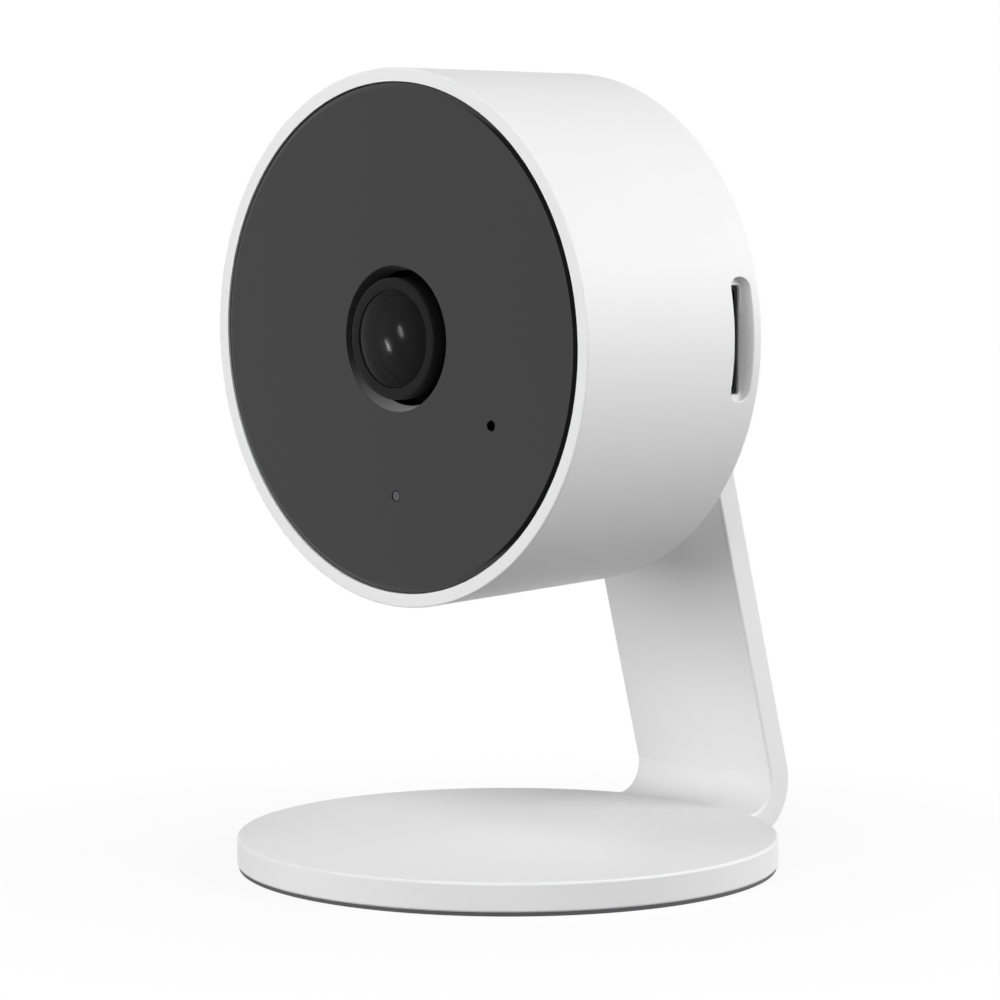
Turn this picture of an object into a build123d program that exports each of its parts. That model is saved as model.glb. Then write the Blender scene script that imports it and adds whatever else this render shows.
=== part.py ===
from build123d import *
import os
from math import cos, radians, sin, tan

# An indoor security camera: a round head with a dark front window sits on a ball joint, at the top of an
# arm that is bent up from a disc base. Millimetres, +Z up, the head faces -Y. The origin is the centre of
# the foot pad's underside. Head pieces are drawn as seen from the front: x right, y up, z out of the front.
# A depth is measured back from the front rim.

# Base and arm
BASE_DIAMETER = 63.0
BASE_THICKNESS = 3.4
BASE_EDGE_ROUND = 0.35
FOOT_PAD_THICKNESS = 0.4
FOOT_PAD_INSET = 0.2
WEIGHT_DIAMETER = 50.0
WEIGHT_THICKNESS = 1.6
ARM_WIDTH = 22.3
ARM_THICKNESS = 3.2
ARM_LEAN = 15.2
ARM_BEND_RADIUS = 3.0
ARM_SETBACK = 30.4
ARM_ABOVE_JOINT = 6.8
ARM_CORNER = 9.5
ARM_EDGE_ROUND = 0.35

# Head housing and window
HEAD_AXIS_HEIGHT = 62.23
HEAD_DIAMETER = 60.78
HEAD_LENGTH = 28.9
HEAD_DRAFT = 1.7
HEAD_FRONT_ROUND = 0.3
HEAD_REAR_ROUND = 0.6
REAR_WALL = 1.8
RIM_WIDTH = 1.66
WINDOW_THICKNESS = 2.0
WINDOW_BEVEL = 0.35
TAPE_THICKNESS = 0.15
LEDGE_WIDTH = 1.43
LENS_HOLE_DIAMETER = 16.5
LENS_HOLE_TAPER = 0.6
MIC_HOLE_DIAMETER = 1.2
MIC_X = 15.4
MIC_Y = -8.9
LIGHT_HOLE_DIAMETER = 1.3
LIGHT_Y = -17.8

# Card slot in the side of the head, and what opens through the rear wall
CARD_DEPTH = 25.7
CARD_POCKET_TALL = 14.1
CARD_POCKET_WIDE = 3.2
CARD_POCKET_DEEP = 1.8
CARD_POCKET_CORNER = 1.4
CARD_SLOT_TALL = 12.3
CARD_SLOT_WIDE = 1.8
CARD_MOUTH_TALL = 11.1
CARD_MOUTH_WIDE = 0.9
CARD_HOUSING_WALL = 2.0
CARD_SOCKET_GAP = 2.73
GRILLE_DROP = 0.5
GRILLE_PITCH = 2.1
GRILLE_HOLE_DIAMETER = 1.2
GRILLE_ROWS = 5
USB_INSET = 6.9
USB_LONG = 7.6
USB_SHORT = 3.0
USB_WALL = 0.3
USB_SET_BACK = 0.4
USB_RECESS_RIM = 1.7
USB_RECESS_DEEP = 0.6
USB_BASE_LENGTH = 1.4
USB_TONGUE_SET_BACK = 0.4
USB_TONGUE_THICKNESS = 0.75
BUTTON_BESIDE_TOWER = 3.9
BUTTON_BELOW_TOWER = 4.8
BUTTON_DIAMETER = 2.9
BUTTON_FLANGE = 0.65
BUTTON_FLANGE_THICKNESS = 0.55
BUTTON_SET_BACK = 0.2
BUTTON_TRAVEL = 0.3

# Ball joint
BALL_DIAMETER = 9.0
BALL_SET_IN = 4.7
BALL_FIT = 0.06
NECK_DIAMETER = 3.4
SWING = 28.5
LIP_ANGLE = 52.0
MOUTH_CLEARANCE = 0.3
STUD_REACH = 11.92
COLLAR_DIAMETER = 6.4
COLLAR_THICKNESS = 0.8
COLLAR_CLEARANCE = 0.35
SHANK_DIAMETER = 4.4
SHANK_WEB = 0.8
BOSS_FRONT_DIAMETER = 8.4
BOSS_REAR_DIAMETER = 10.8
CAP_DIAMETER = 5.7
CAP_EDGE = 0.6
CUP_THICKNESS = 0.8
CUP_EDGE = 2.4
CUP_RELIEF_DIAMETER = 2.4
SOCKET_FACE_BEHIND_BALL = 0.6
SOCKET_BOSS_DIAMETER = 21.6
CLAMP_DIAMETER = 21.2
CLAMP_FLANGE = 1.5
CLAMP_WALL = 1.2
CLAMP_SCREW_CIRCLE = 17.4

# Chassis and boards
LED_SPACE = 3.2
LED_BOARD_THICKNESS = 1.0
LED_BOARD_CLEARANCE = 0.4
LED_BOARD_HOLE_DIAMETER = 19.2
LED_CIRCLE = 27.0
LED_COUNT = 8
LED_SIZE = 3.0
LED_BASE = 0.8
LED_DOME_DIAMETER = 2.4
CHASSIS_PLATE = 2.0
CHASSIS_WALL = 1.8
CHASSIS_HOLE_DIAMETER = 17.2
TOWER_DIAMETER = 6.4
TOWER_INSET = 5.0
TOWER_ANGLE = 40.0
TOWER_FLOOR = 1.6
SENSOR_BOARD_SPACE = 6.8
SENSOR_BOARD_SIZE = 24.0
SENSOR_BOARD_THICKNESS = 1.0
SENSOR_POST_DIAMETER = 4.0
SENSOR_POST_PLACE = 9.8
SENSOR_WIDTH = 9.0
SENSOR_HEIGHT = 8.0
SENSOR_THICKNESS = 1.1
BOARD_BOSS_HEIGHT = 2.9
MAIN_BOARD_CLEARANCE = 1.2
MAIN_BOARD_HOLE_DIAMETER = 22.4
MAIN_BOARD_THICKNESS = 1.2
SHIELD_INSET = 7.6
SHIELD_WIDTH = 11.0
SHIELD_HEIGHT = 14.0
SHIELD_THICKNESS = 1.8
SHIELD_SKIN = 0.25
PROCESSOR_CLEARANCE = 1.0
RADIO_WIDTH = 13.0
RADIO_HEIGHT = 9.0
RADIO_THICKNESS = 1.4
MEMORY_INSET = 7.6
MEMORY_WIDTH = 8.0
MEMORY_HEIGHT = 10.0
MEMORY_THICKNESS = 1.0
CONNECTOR_WIDTH = 9.0
CONNECTOR_HEIGHT = 3.0
CONNECTOR_THICKNESS = 1.2
FLEX_WIDTH = 7.0
FLEX_THICKNESS = 0.25
FLEX_DROP = 2.4
FLEX_BEND = 0.9

# Lens, day and night filter
LENS_PROUD = 0.48
LENS_DIAMETER = 13.8
LENS_HEAD_LENGTH = 4.6
LENS_THREAD_DIAMETER = 12.0
LENS_BORE_DIAMETER = 9.2
LENS_EDGE_ROUND = 0.25
GLASS_DIAMETER = 11.0
GLASS_RIM_DROP = 0.1
GLASS_CROWN_RADIUS = 16.0
GLASS_HOLLOW_RADIUS = 6.5
GLASS_RIM = 1.2
STOP_DEPTH = 4.6
STOP_THICKNESS = 0.4
STOP_HOLE_DIAMETER = 3.4
REAR_GLASS_DEPTH = 6.4
REAR_GLASS_RADIUS = 7.0
REAR_GLASS_THICKNESS = 2.2
REAR_GLASS_FLANGE = 0.6
HOLDER_TUBE_DIAMETER = 15.6
HOLDER_TUBE_LENGTH = 4.4
HOLDER_WIDTH = 22.0
HOLDER_HEIGHT = 15.0
HOLDER_CORNER = 1.0
HOLDER_FRONT_WALL = 0.85
FILTER_BASE_THICKNESS = 2.85
FILTER_BASE_WALL = 1.05
FILTER_PITCH = 5.8
FILTER_HOLE_DIAMETER = 5.2
FILTER_GLASS_THICKNESS = 0.5
SHUTTLE_THICKNESS = 1.0
SHUTTLE_HEIGHT = 8.3
SHUTTLE_MARGIN = 0.7
SHUTTLE_FIT = 0.15
COIL_LENGTH = 10.0
COIL_DIAMETER = 3.6
COIL_CHEEK = 0.8
SHADE_THICKNESS = 0.7

# Sound, light guide and aerial
MIC_DIAMETER = 3.8
MIC_THICKNESS = 1.4
MIC_BOOT_WALL = 0.6
LIGHT_PIPE_FLANGE = 0.7
LIGHT_PIPE_FLANGE_THICKNESS = 0.6
STATUS_LED_SIZE = 1.6
STATUS_LED_THICKNESS = 0.7
SPEAKER_WIDTH = 20.0
SPEAKER_HEIGHT = 11.4
SPEAKER_THICKNESS = 2.3
SPEAKER_RIM = 1.4
SPEAKER_FLOOR = 0.8
CONE_THICKNESS = 0.4
GASKET_THICKNESS = 0.4
SWITCH_SIZE = 4.2
SWITCH_THICKNESS = 1.5
SWITCH_FLOOR = 0.3
PLUNGER_DIAMETER = 1.9
AERIAL_THICKNESS = 0.2
AERIAL_LENGTH = 7.0
AERIAL_DEPTH = 10.0
AERIAL_SPAN = 50.0

# Screws and fits
SMALL_SCREW_DIAMETER = 1.5
BOARD_SCREW_DIAMETER = 2.0
STUD_SCREW_DIAMETER = 2.5
STUD_SCREW_LENGTH = 8.0
SCREW_HEAD_FACTOR = 1.9
SCREW_HEAD_THICKNESS = 1.0
SCREW_CROSS_SPAN_FACTOR = 1.1
SCREW_CROSS_SLOT_FACTOR = 0.25
SCREW_BITE = 2.6
THREAD_FIT = 0.05
FIT = 0.1
OVERSHOOT = 1.0

# Heights and places on the stand
LEAN_SIN = sin(radians(ARM_LEAN))
LEAN_COS = cos(radians(ARM_LEAN))
LEAN_TAN = tan(radians(ARM_LEAN))
BASE_RADIUS = BASE_DIAMETER / 2
BASE_TOP = FOOT_PAD_THICKNESS + BASE_THICKNESS
BEND_HEIGHT = BASE_TOP + ARM_BEND_RADIUS
ARM_FOOT_Y = ARM_SETBACK + ARM_BEND_RADIUS * LEAN_COS
ARM_FOOT_Z = BEND_HEIGHT + ARM_BEND_RADIUS * LEAN_SIN
ARM_FRONT_Y = ARM_FOOT_Y - (HEAD_AXIS_HEIGHT - ARM_FOOT_Z) * LEAN_TAN

# Depths in the head, from the front rim back
BALL_DEPTH = HEAD_LENGTH - BALL_SET_IN
ARM_DEPTH = BALL_DEPTH + STUD_REACH
REAR_INSIDE = HEAD_LENGTH - REAR_WALL
LEDGE_DEPTH = WINDOW_THICKNESS + TAPE_THICKNESS
LED_BOARD_DEPTH = WINDOW_THICKNESS + LED_SPACE
CHASSIS_FACE = LED_BOARD_DEPTH + LED_BOARD_THICKNESS
CHASSIS_BACK = CHASSIS_FACE + CHASSIS_PLATE
SENSOR_BOARD_DEPTH = CHASSIS_BACK + SENSOR_BOARD_SPACE
SENSOR_BOARD_BACK = SENSOR_BOARD_DEPTH + SENSOR_BOARD_THICKNESS
BOARD_BACK = REAR_INSIDE - BOARD_BOSS_HEIGHT
BOARD_FRONT = BOARD_BACK - MAIN_BOARD_THICKNESS
SOCKET_FACE = BALL_DEPTH + SOCKET_FACE_BEHIND_BALL
CLAMP_FRONT = SOCKET_FACE - CLAMP_FLANGE
FILTER_BASE_DEPTH = SENSOR_BOARD_DEPTH - FILTER_BASE_THICKNESS
SHUTTLE_DEPTH = FILTER_BASE_DEPTH - SHUTTLE_FIT - SHUTTLE_THICKNESS
HOLDER_BLOCK_DEPTH = SHUTTLE_DEPTH - SHUTTLE_FIT - HOLDER_FRONT_WALL
LENS_NECK_DEPTH = LENS_HEAD_LENGTH - LENS_PROUD

# Radii that several pieces share
HEAD_RADIUS = HEAD_DIAMETER / 2
WINDOW_DIAMETER = HEAD_DIAMETER - 2 * RIM_WIDTH
DRAFT_TAN = tan(radians(HEAD_DRAFT))
WINDOW_SEAT = WINDOW_DIAMETER / 2 + FIT
HEAD_BORE = WINDOW_SEAT - LEDGE_WIDTH
LED_BOARD_DIAMETER = 2 * (HEAD_BORE - CHASSIS_WALL - LED_BOARD_CLEARANCE)
MAIN_BOARD_RADIUS = HEAD_BORE - MAIN_BOARD_CLEARANCE
BALL_RADIUS = BALL_DIAMETER / 2
CUP_INSIDE = BALL_RADIUS + BALL_FIT
CUP_OUTSIDE = CUP_INSIDE + CUP_THICKNESS
CLAMP_INSIDE = CUP_OUTSIDE + BALL_FIT
NECK_RADIUS = NECK_DIAMETER / 2
CARD_FLOOR_X = HEAD_RADIUS - CARD_DEPTH * DRAFT_TAN - CARD_POCKET_DEEP
CARD_HOUSING_X = CARD_FLOOR_X - CARD_HOUSING_WALL
SOCKET_BOSS_RADIUS = SOCKET_BOSS_DIAMETER / 2
SWING_SIN = sin(radians(SWING))
SWING_COS = cos(radians(SWING))
COLLAR_DEPTH = BALL_DEPTH + (BALL_SET_IN + COLLAR_CLEARANCE + COLLAR_DIAMETER / 2 * SWING_SIN) / SWING_COS
BOSS_DEPTH = COLLAR_DEPTH + COLLAR_THICKNESS
STUD_SCREW_SEAT = (ARM_DEPTH + ARM_THICKNESS / LEAN_COS - CAP_DIAMETER / 2 * LEAN_TAN - CAP_EDGE
                   - SCREW_HEAD_THICKNESS - THREAD_FIT)
SHANK_END = STUD_SCREW_SEAT - SHANK_WEB
CAP_HOLE_LENGTH = CAP_DIAMETER * LEAN_TAN + CAP_EDGE + SCREW_HEAD_THICKNESS + THREAD_FIT + OVERSHOOT

# Where the head stands: its axis is level and runs through the ball
HEAD = Plane(
    origin=(0, ARM_FRONT_Y - ARM_DEPTH, HEAD_AXIS_HEIGHT), x_dir=(1, 0, 0), z_dir=(0, -1, 0)
).location
TOWER_X = (HEAD_BORE - TOWER_INSET) * cos(radians(TOWER_ANGLE))
TOWER_Y = (HEAD_BORE - TOWER_INSET) * sin(radians(TOWER_ANGLE))
BUTTON_X = TOWER_X - BUTTON_BESIDE_TOWER
BUTTON_Y = -TOWER_Y - BUTTON_BELOW_TOWER
USB_X = USB_INSET - MAIN_BOARD_RADIUS
SHIELD_X = SHIELD_INSET - MAIN_BOARD_RADIUS
MEMORY_X = MAIN_BOARD_RADIUS - MEMORY_INSET
GRILLE_Y = (HEAD_BORE + SOCKET_BOSS_RADIUS) / 2 - GRILLE_DROP
TOWERS = [(x, y) for x in (-TOWER_X, TOWER_X) for y in (-TOWER_Y, TOWER_Y)]
SENSOR_POSTS = [(x, y) for x in (-SENSOR_POST_PLACE, SENSOR_POST_PLACE)
                for y in (-SENSOR_POST_PLACE, SENSOR_POST_PLACE)]


def on_circle(diameter, count, start=0.0):
    """Evenly spaced (x, y) places on a circle about the head's axis."""
    turns = [radians(start + 360 * i / count) for i in range(count)]
    return [(diameter / 2 * cos(t), diameter / 2 * sin(t)) for t in turns]


def rod(radius, depth, length, at=(0, 0)):
    """A round rod whose front end lies at a depth and which runs back by its length."""
    return Pos(*at, -depth) * Cylinder(radius, length, align=(Align.CENTER, Align.CENTER, Align.MAX))


def tube(outer, inner, depth, length, at=(0, 0)):
    """A rod with a round hole right through it."""
    return rod(outer, depth, length, at) - rod(inner, depth, length, at)


def plate(outline, depth, thickness, at=(0, 0)):
    """A flat plate of any outline, its front face at a depth."""
    return Pos(*at, -depth - thickness) * extrude(outline, thickness)


def dome(radius):
    """Half a ball, flat side down on z = 0."""
    return Sphere(radius, arc_size1=0, align=(Align.CENTER, Align.CENTER, Align.MIN))


def screw(diameter, length):
    """Pan head screw with a cross recess: its head stands on z = 0 and its shaft runs down."""
    head_radius = diameter / 2 * SCREW_HEAD_FACTOR
    head = extrude(Circle(head_radius), SCREW_HEAD_THICKNESS)
    head = fillet(head.edges().sort_by(Axis.Z)[-1], SCREW_HEAD_THICKNESS / 3)
    span = head_radius * SCREW_CROSS_SPAN_FACTOR
    slot = head_radius * SCREW_CROSS_SLOT_FACTOR
    cross = Rectangle(span, slot) + Rectangle(slot, span)
    head -= Pos(0, 0, SCREW_HEAD_THICKNESS / 2) * extrude(cross, SCREW_HEAD_THICKNESS)
    return head + extrude(Circle(diameter / 2), -length)


def screws_from_front(diameter, length, depth, places):
    """A set of screws driven in from the front, their heads standing on one depth."""
    return Compound([Pos(*at, -depth) * screw(diameter, length) for at in places])


def screws_from_rear(diameter, length, depth, places):
    """A set of screws driven in from the rear, their heads standing on one depth."""
    return Compound([Pos(*at, -depth) * Rot(X=180) * screw(diameter, length) for at in places])


# Stand


def arm_blank():
    """The strip before its holes: a flat foot in the disc, the bend, and a leaning blade with a round top."""
    top = HEAD_AXIS_HEIGHT + ARM_ABOVE_JOINT
    run = (top - ARM_FOOT_Z) / LEAN_COS
    outer = ARM_BEND_RADIUS + ARM_THICKNESS
    centre = (ARM_SETBACK, BEND_HEIGHT)
    foot_start = ARM_SETBACK - 2 * ARM_BEND_RADIUS
    inner_end = (ARM_FOOT_Y, ARM_FOOT_Z)
    outer_end = (ARM_SETBACK + outer * LEAN_COS, BEND_HEIGHT + outer * LEAN_SIN)
    inner_top = (inner_end[0] - run * LEAN_SIN, inner_end[1] + run * LEAN_COS)
    outer_top = (outer_end[0] - run * LEAN_SIN, outer_end[1] + run * LEAN_COS)
    turn = 90 + ARM_LEAN
    outline = [
        Line((foot_start, BASE_TOP), (ARM_SETBACK, BASE_TOP)),
        CenterArc(centre, ARM_BEND_RADIUS, -90, turn),
        Line(inner_end, inner_top),
        Line(inner_top, outer_top),
        Line(outer_top, outer_end),
        CenterArc(centre, outer, -90, turn),
        Line((ARM_SETBACK, BASE_TOP - ARM_THICKNESS), (foot_start, BASE_TOP - ARM_THICKNESS)),
        Line((foot_start, BASE_TOP - ARM_THICKNESS), (foot_start, BASE_TOP)),
    ]
    arm = extrude(Plane.YZ * make_face(outline), ARM_WIDTH / 2, both=True)
    corner = min(ARM_CORNER, ARM_WIDTH / 2 - ARM_EDGE_ROUND - FIT)
    across = Vector(0, LEAN_COS, LEAN_SIN)
    tips = [e for e in arm.edges() if e.center().Z > top - ARM_THICKNESS and abs(e.tangent_at(0.5).X) < 0.5]
    tips = [e for e in tips if abs(e.tangent_at(0.5).dot(across)) > 0.9]
    arm = fillet(tips, corner)
    rims = [e for e in arm.edges() if e.center().Y > foot_start + FIT or e.center().Z > BASE_TOP]
    rims = [e for e in rims if e.geom_type != GeomType.LINE or abs(e.tangent_at(0.5).dot(across)) < 0.9]
    rims = [e for e in rims if e.center().Z > HEAD_AXIS_HEIGHT or abs(e.tangent_at(0.5).X) < 0.5]
    return fillet(rims, ARM_EDGE_ROUND)


def stand_bracket():
    """One moulding: the disc base, the bent arm, and the boss that holds the ball stud."""
    disc = Pos(0, 0, FOOT_PAD_THICKNESS) * extrude(Circle(BASE_RADIUS), BASE_THICKNESS)
    disc = fillet(disc.edges().filter_by(GeomType.CIRCLE), BASE_EDGE_ROUND)
    boss_length = ARM_DEPTH + BOSS_REAR_DIAMETER - BOSS_DEPTH
    slope = (BOSS_REAR_DIAMETER - BOSS_FRONT_DIAMETER) / 2 / (ARM_DEPTH - BOSS_DEPTH)
    boss = Pos(0, 0, -BOSS_DEPTH) * Cone(
        BOSS_FRONT_DIAMETER / 2 + slope * boss_length, BOSS_FRONT_DIAMETER / 2, boss_length,
        align=(Align.CENTER, Align.CENTER, Align.MAX),
    )
    middle = Plane(
        origin=(0, ARM_FRONT_Y + ARM_THICKNESS / 2 / LEAN_COS, HEAD_AXIS_HEIGHT),
        x_dir=(1, 0, 0), z_dir=(0, LEAN_COS, LEAN_SIN),
    )
    boss = HEAD * boss - extrude(middle * Rectangle(2 * ARM_WIDTH, 2 * ARM_WIDTH), 2 * ARM_WIDTH)
    stand = disc + arm_blank() + boss
    stand -= Pos(0, 0, FOOT_PAD_THICKNESS) * extrude(
        Circle(WEIGHT_DIAMETER / 2 + FIT), WEIGHT_THICKNESS + THREAD_FIT)
    stand -= HEAD * rod(SHANK_DIAMETER / 2 + THREAD_FIT, BOSS_DEPTH, SHANK_END - BOSS_DEPTH)
    stand -= HEAD * rod(STUD_SCREW_DIAMETER / 2 + FIT, SHANK_END, SHANK_WEB)
    stand -= HEAD * rod(CAP_DIAMETER / 2 + THREAD_FIT, STUD_SCREW_SEAT, CAP_HOLE_LENGTH)
    return stand


def foot_pad():
    """Soft disc under the base, a little smaller than it, so that only its edge shows."""
    return extrude(Circle(BASE_RADIUS - FOOT_PAD_INSET), FOOT_PAD_THICKNESS)


def base_weight():
    """Steel disc let into the underside, which keeps the stand from tipping."""
    weight = Pos(0, 0, FOOT_PAD_THICKNESS) * extrude(Circle(WEIGHT_DIAMETER / 2), WEIGHT_THICKNESS)
    return chamfer(weight.edges().sort_by(Axis.Z)[-1], WEIGHT_THICKNESS / 4)


def ball_stud():
    """Turned stud: ball, slim neck, collar on the boss, and a shank that is tapped from its rear end."""
    stud = Pos(0, 0, -BALL_DEPTH) * Sphere(BALL_RADIUS)
    stud += rod(NECK_RADIUS, BALL_DEPTH, COLLAR_DEPTH - BALL_DEPTH)
    stud += rod(COLLAR_DIAMETER / 2, COLLAR_DEPTH, COLLAR_THICKNESS)
    stud += rod(SHANK_DIAMETER / 2, BOSS_DEPTH, SHANK_END - BOSS_DEPTH)
    tapped = STUD_SCREW_LENGTH - SHANK_WEB + FIT
    return stud - rod(STUD_SCREW_DIAMETER / 2 + THREAD_FIT, SHANK_END - tapped, tapped)


def ball_stud_screw():
    """Pulls the stud into its boss from the back of the arm."""
    return screws_from_rear(STUD_SCREW_DIAMETER, STUD_SCREW_LENGTH, STUD_SCREW_SEAT, [(0, 0)])


def arm_screw_cap():
    """Plug over the stud screw, its outer face flush with the leaning back of the arm."""
    depth = STUD_SCREW_SEAT + SCREW_HEAD_THICKNESS + THREAD_FIT
    return HEAD * rod(CAP_DIAMETER / 2, depth, CAP_HOLE_LENGTH) & arm_blank()


# Ball joint in the head


def friction_cup():
    """Thin spherical cup between the ball and its clamp: it slides on both and holds the head by friction."""
    cup = Sphere(CUP_OUTSIDE) - Sphere(CUP_INSIDE)
    cup -= Pos(0, 0, CUP_EDGE) * Box(
        4 * BALL_RADIUS, 4 * BALL_RADIUS, 4 * BALL_RADIUS, align=(Align.CENTER, Align.CENTER, Align.MAX))
    cup -= Cylinder(CUP_RELIEF_DIAMETER / 2, 4 * BALL_RADIUS)
    return Pos(0, 0, -BALL_DEPTH) * cup


def ball_clamp():
    """Domed cap that is screwed to the rear wall's inner boss and keeps the ball in its seat."""
    outside = CLAMP_INSIDE + CLAMP_WALL
    clamp = rod(CLAMP_DIAMETER / 2, CLAMP_FRONT, CLAMP_FLANGE)
    clamp += Pos(0, 0, -BALL_DEPTH) * dome(outside)
    clamp += rod(outside, BALL_DEPTH, SOCKET_FACE_BEHIND_BALL)
    clamp -= Pos(0, 0, -BALL_DEPTH) * dome(CLAMP_INSIDE)
    clamp -= rod(CLAMP_INSIDE, BALL_DEPTH, SOCKET_FACE_BEHIND_BALL)
    for at in on_circle(CLAMP_SCREW_CIRCLE, 3, 90):
        clamp -= rod(SMALL_SCREW_DIAMETER / 2 + FIT, CLAMP_FRONT, CLAMP_FLANGE, at)
    return clamp


def clamp_screws():
    """Three screws through the clamp's flange into the rear wall's boss."""
    length = CLAMP_FLANGE + SCREW_BITE
    places = on_circle(CLAMP_SCREW_CIRCLE, 3, 90)
    return screws_from_front(SMALL_SCREW_DIAMETER, length, CLAMP_FRONT, places)


# Head housing


def ball_mouth():
    """What the ball and its swinging neck need clear in the rear wall: a seat, then a flared mouth."""
    lip_radius = CUP_INSIDE * sin(radians(LIP_ANGLE))
    lip_depth = BALL_DEPTH + CUP_INSIDE * cos(radians(LIP_ANGLE))
    reach = (BALL_SET_IN + NECK_RADIUS * SWING_SIN) / SWING_COS
    mouth_radius = reach * SWING_SIN + NECK_RADIUS * SWING_COS + MOUTH_CLEARANCE
    flare = Pos(0, 0, -HEAD_LENGTH) * Cone(
        mouth_radius, lip_radius, HEAD_LENGTH - lip_depth, align=(Align.CENTER, Align.CENTER, Align.MIN))
    return flare + Pos(0, 0, -BALL_DEPTH) * Sphere(CUP_INSIDE)


def card_pocket():
    """Rounded pocket in the side of the head, and the slot in its flat floor."""
    floor = Plane(origin=(CARD_FLOOR_X, 0, -CARD_DEPTH), x_dir=(0, 1, 0), z_dir=(1, 0, 0))
    corner = min(CARD_POCKET_CORNER, CARD_POCKET_WIDE / 2 - THREAD_FIT)
    pocket = extrude(
        floor * RectangleRounded(CARD_POCKET_TALL, CARD_POCKET_WIDE, corner), CARD_POCKET_DEEP + OVERSHOOT)
    pocket = fillet(pocket.edges().group_by(Axis.X)[0], corner / 4)
    slot = RectangleRounded(CARD_SLOT_TALL, CARD_SLOT_WIDE, CARD_SLOT_WIDE / 4)
    return pocket + extrude(floor * slot, -CARD_HOUSING_WALL - OVERSHOOT)


def grille_places():
    """Staggered rows of sound holes over the speaker, longest row in the middle."""
    middle = GRILLE_ROWS // 2
    places = []
    for row in range(-middle, middle + 1):
        count = GRILLE_ROWS + middle - abs(row)
        for i in range(count):
            x = (i - (count - 1) / 2) * GRILLE_PITCH
            places.append((x, GRILLE_Y + row * GRILLE_PITCH * sin(radians(60))))
    return places


def usb_outline(grow=0.0):
    """The port's outline, standing upright: a flat inner side and two cut outer corners."""
    half = USB_LONG / 2 + grow
    side = USB_SHORT / 2 + grow
    cut = USB_SHORT / 3
    upper = [(side, half), (cut - side, half), (-side, half - cut)]
    lower = [(x, -y) for x, y in reversed(upper)]
    return Polygon(*upper, *lower, align=None)


def head_shell():
    """Moulded cup: tapered side, window seat in front, and a rear wall with the ball's seat and the ports."""
    shell = Pos(0, 0, -HEAD_LENGTH) * Cone(
        HEAD_RADIUS - HEAD_LENGTH * DRAFT_TAN, HEAD_RADIUS, HEAD_LENGTH,
        align=(Align.CENTER, Align.CENTER, Align.MIN),
    )
    circles = shell.edges().filter_by(GeomType.CIRCLE).sort_by(Axis.Z)
    shell = fillet(circles[-1], HEAD_FRONT_ROUND)
    circles = shell.edges().filter_by(GeomType.CIRCLE).sort_by(Axis.Z)
    shell = fillet(circles[0], HEAD_REAR_ROUND)
    shell -= rod(WINDOW_SEAT, 0, LEDGE_DEPTH)
    shell -= rod(HEAD_BORE, LEDGE_DEPTH, REAR_INSIDE - LEDGE_DEPTH)
    shell += rod(SOCKET_BOSS_RADIUS, SOCKET_FACE, REAR_INSIDE - SOCKET_FACE)
    for at in TOWERS:
        shell += rod(TOWER_DIAMETER / 2, BOARD_BACK, BOARD_BOSS_HEIGHT, at)
    housing_front = BOARD_BACK + FIT
    housing = Pos(CARD_HOUSING_X, 0, -housing_front) * Box(
        HEAD_RADIUS, CARD_POCKET_TALL + CARD_POCKET_WIDE, REAR_INSIDE - housing_front,
        align=(Align.MIN, Align.CENTER, Align.MAX),
    )
    shell += housing & rod(HEAD_BORE + LEDGE_WIDTH / 2, housing_front, REAR_INSIDE - housing_front)
    shell -= card_pocket()
    shell -= ball_mouth()
    for at in on_circle(CLAMP_SCREW_CIRCLE, 3, 90):
        shell -= rod(SMALL_SCREW_DIAMETER / 2 + THREAD_FIT, SOCKET_FACE, SCREW_BITE + FIT, at)
    for at in TOWERS:
        shell -= rod(BOARD_SCREW_DIAMETER / 2 + THREAD_FIT, BOARD_BACK, SCREW_BITE + FIT, at)
    for at in grille_places():
        shell -= rod(GRILLE_HOLE_DIAMETER / 2, REAR_INSIDE, REAR_WALL, at)
    shell -= plate(usb_outline(2 * FIT), REAR_INSIDE, REAR_WALL, (USB_X, 0))
    recess = RectangleRounded(
        USB_SHORT + 2 * USB_RECESS_RIM, USB_LONG + 2 * USB_RECESS_RIM, USB_RECESS_RIM)
    shell -= plate(recess, HEAD_LENGTH - USB_RECESS_DEEP, USB_RECESS_DEEP, (USB_X, 0))
    shell -= rod(BUTTON_DIAMETER / 2 + FIT, REAR_INSIDE, REAR_WALL, (BUTTON_X, BUTTON_Y))
    return shell


def front_window():
    """Dark disc with a bevelled edge, a tapered lens hole, and small holes for sound and the status light."""
    window = rod(WINDOW_DIAMETER / 2, 0, WINDOW_THICKNESS)
    window = chamfer(window.edges().filter_by(GeomType.CIRCLE).sort_by(Axis.Z)[-1], WINDOW_BEVEL)
    hole = LENS_HOLE_DIAMETER / 2
    window -= Pos(0, 0, -WINDOW_THICKNESS) * Cone(
        hole - LENS_HOLE_TAPER, hole, WINDOW_THICKNESS, align=(Align.CENTER, Align.CENTER, Align.MIN))
    window -= rod(MIC_HOLE_DIAMETER / 2, 0, WINDOW_THICKNESS, (MIC_X, MIC_Y))
    return window - rod(LIGHT_HOLE_DIAMETER / 2, 0, WINDOW_THICKNESS, (0, LIGHT_Y))


def window_tape():
    """Adhesive ring that holds the window to the shell's ledge and the chassis."""
    return tube(WINDOW_SEAT - 2 * FIT, HEAD_BORE - CHASSIS_WALL + FIT, WINDOW_THICKNESS, TAPE_THICKNESS)


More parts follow.
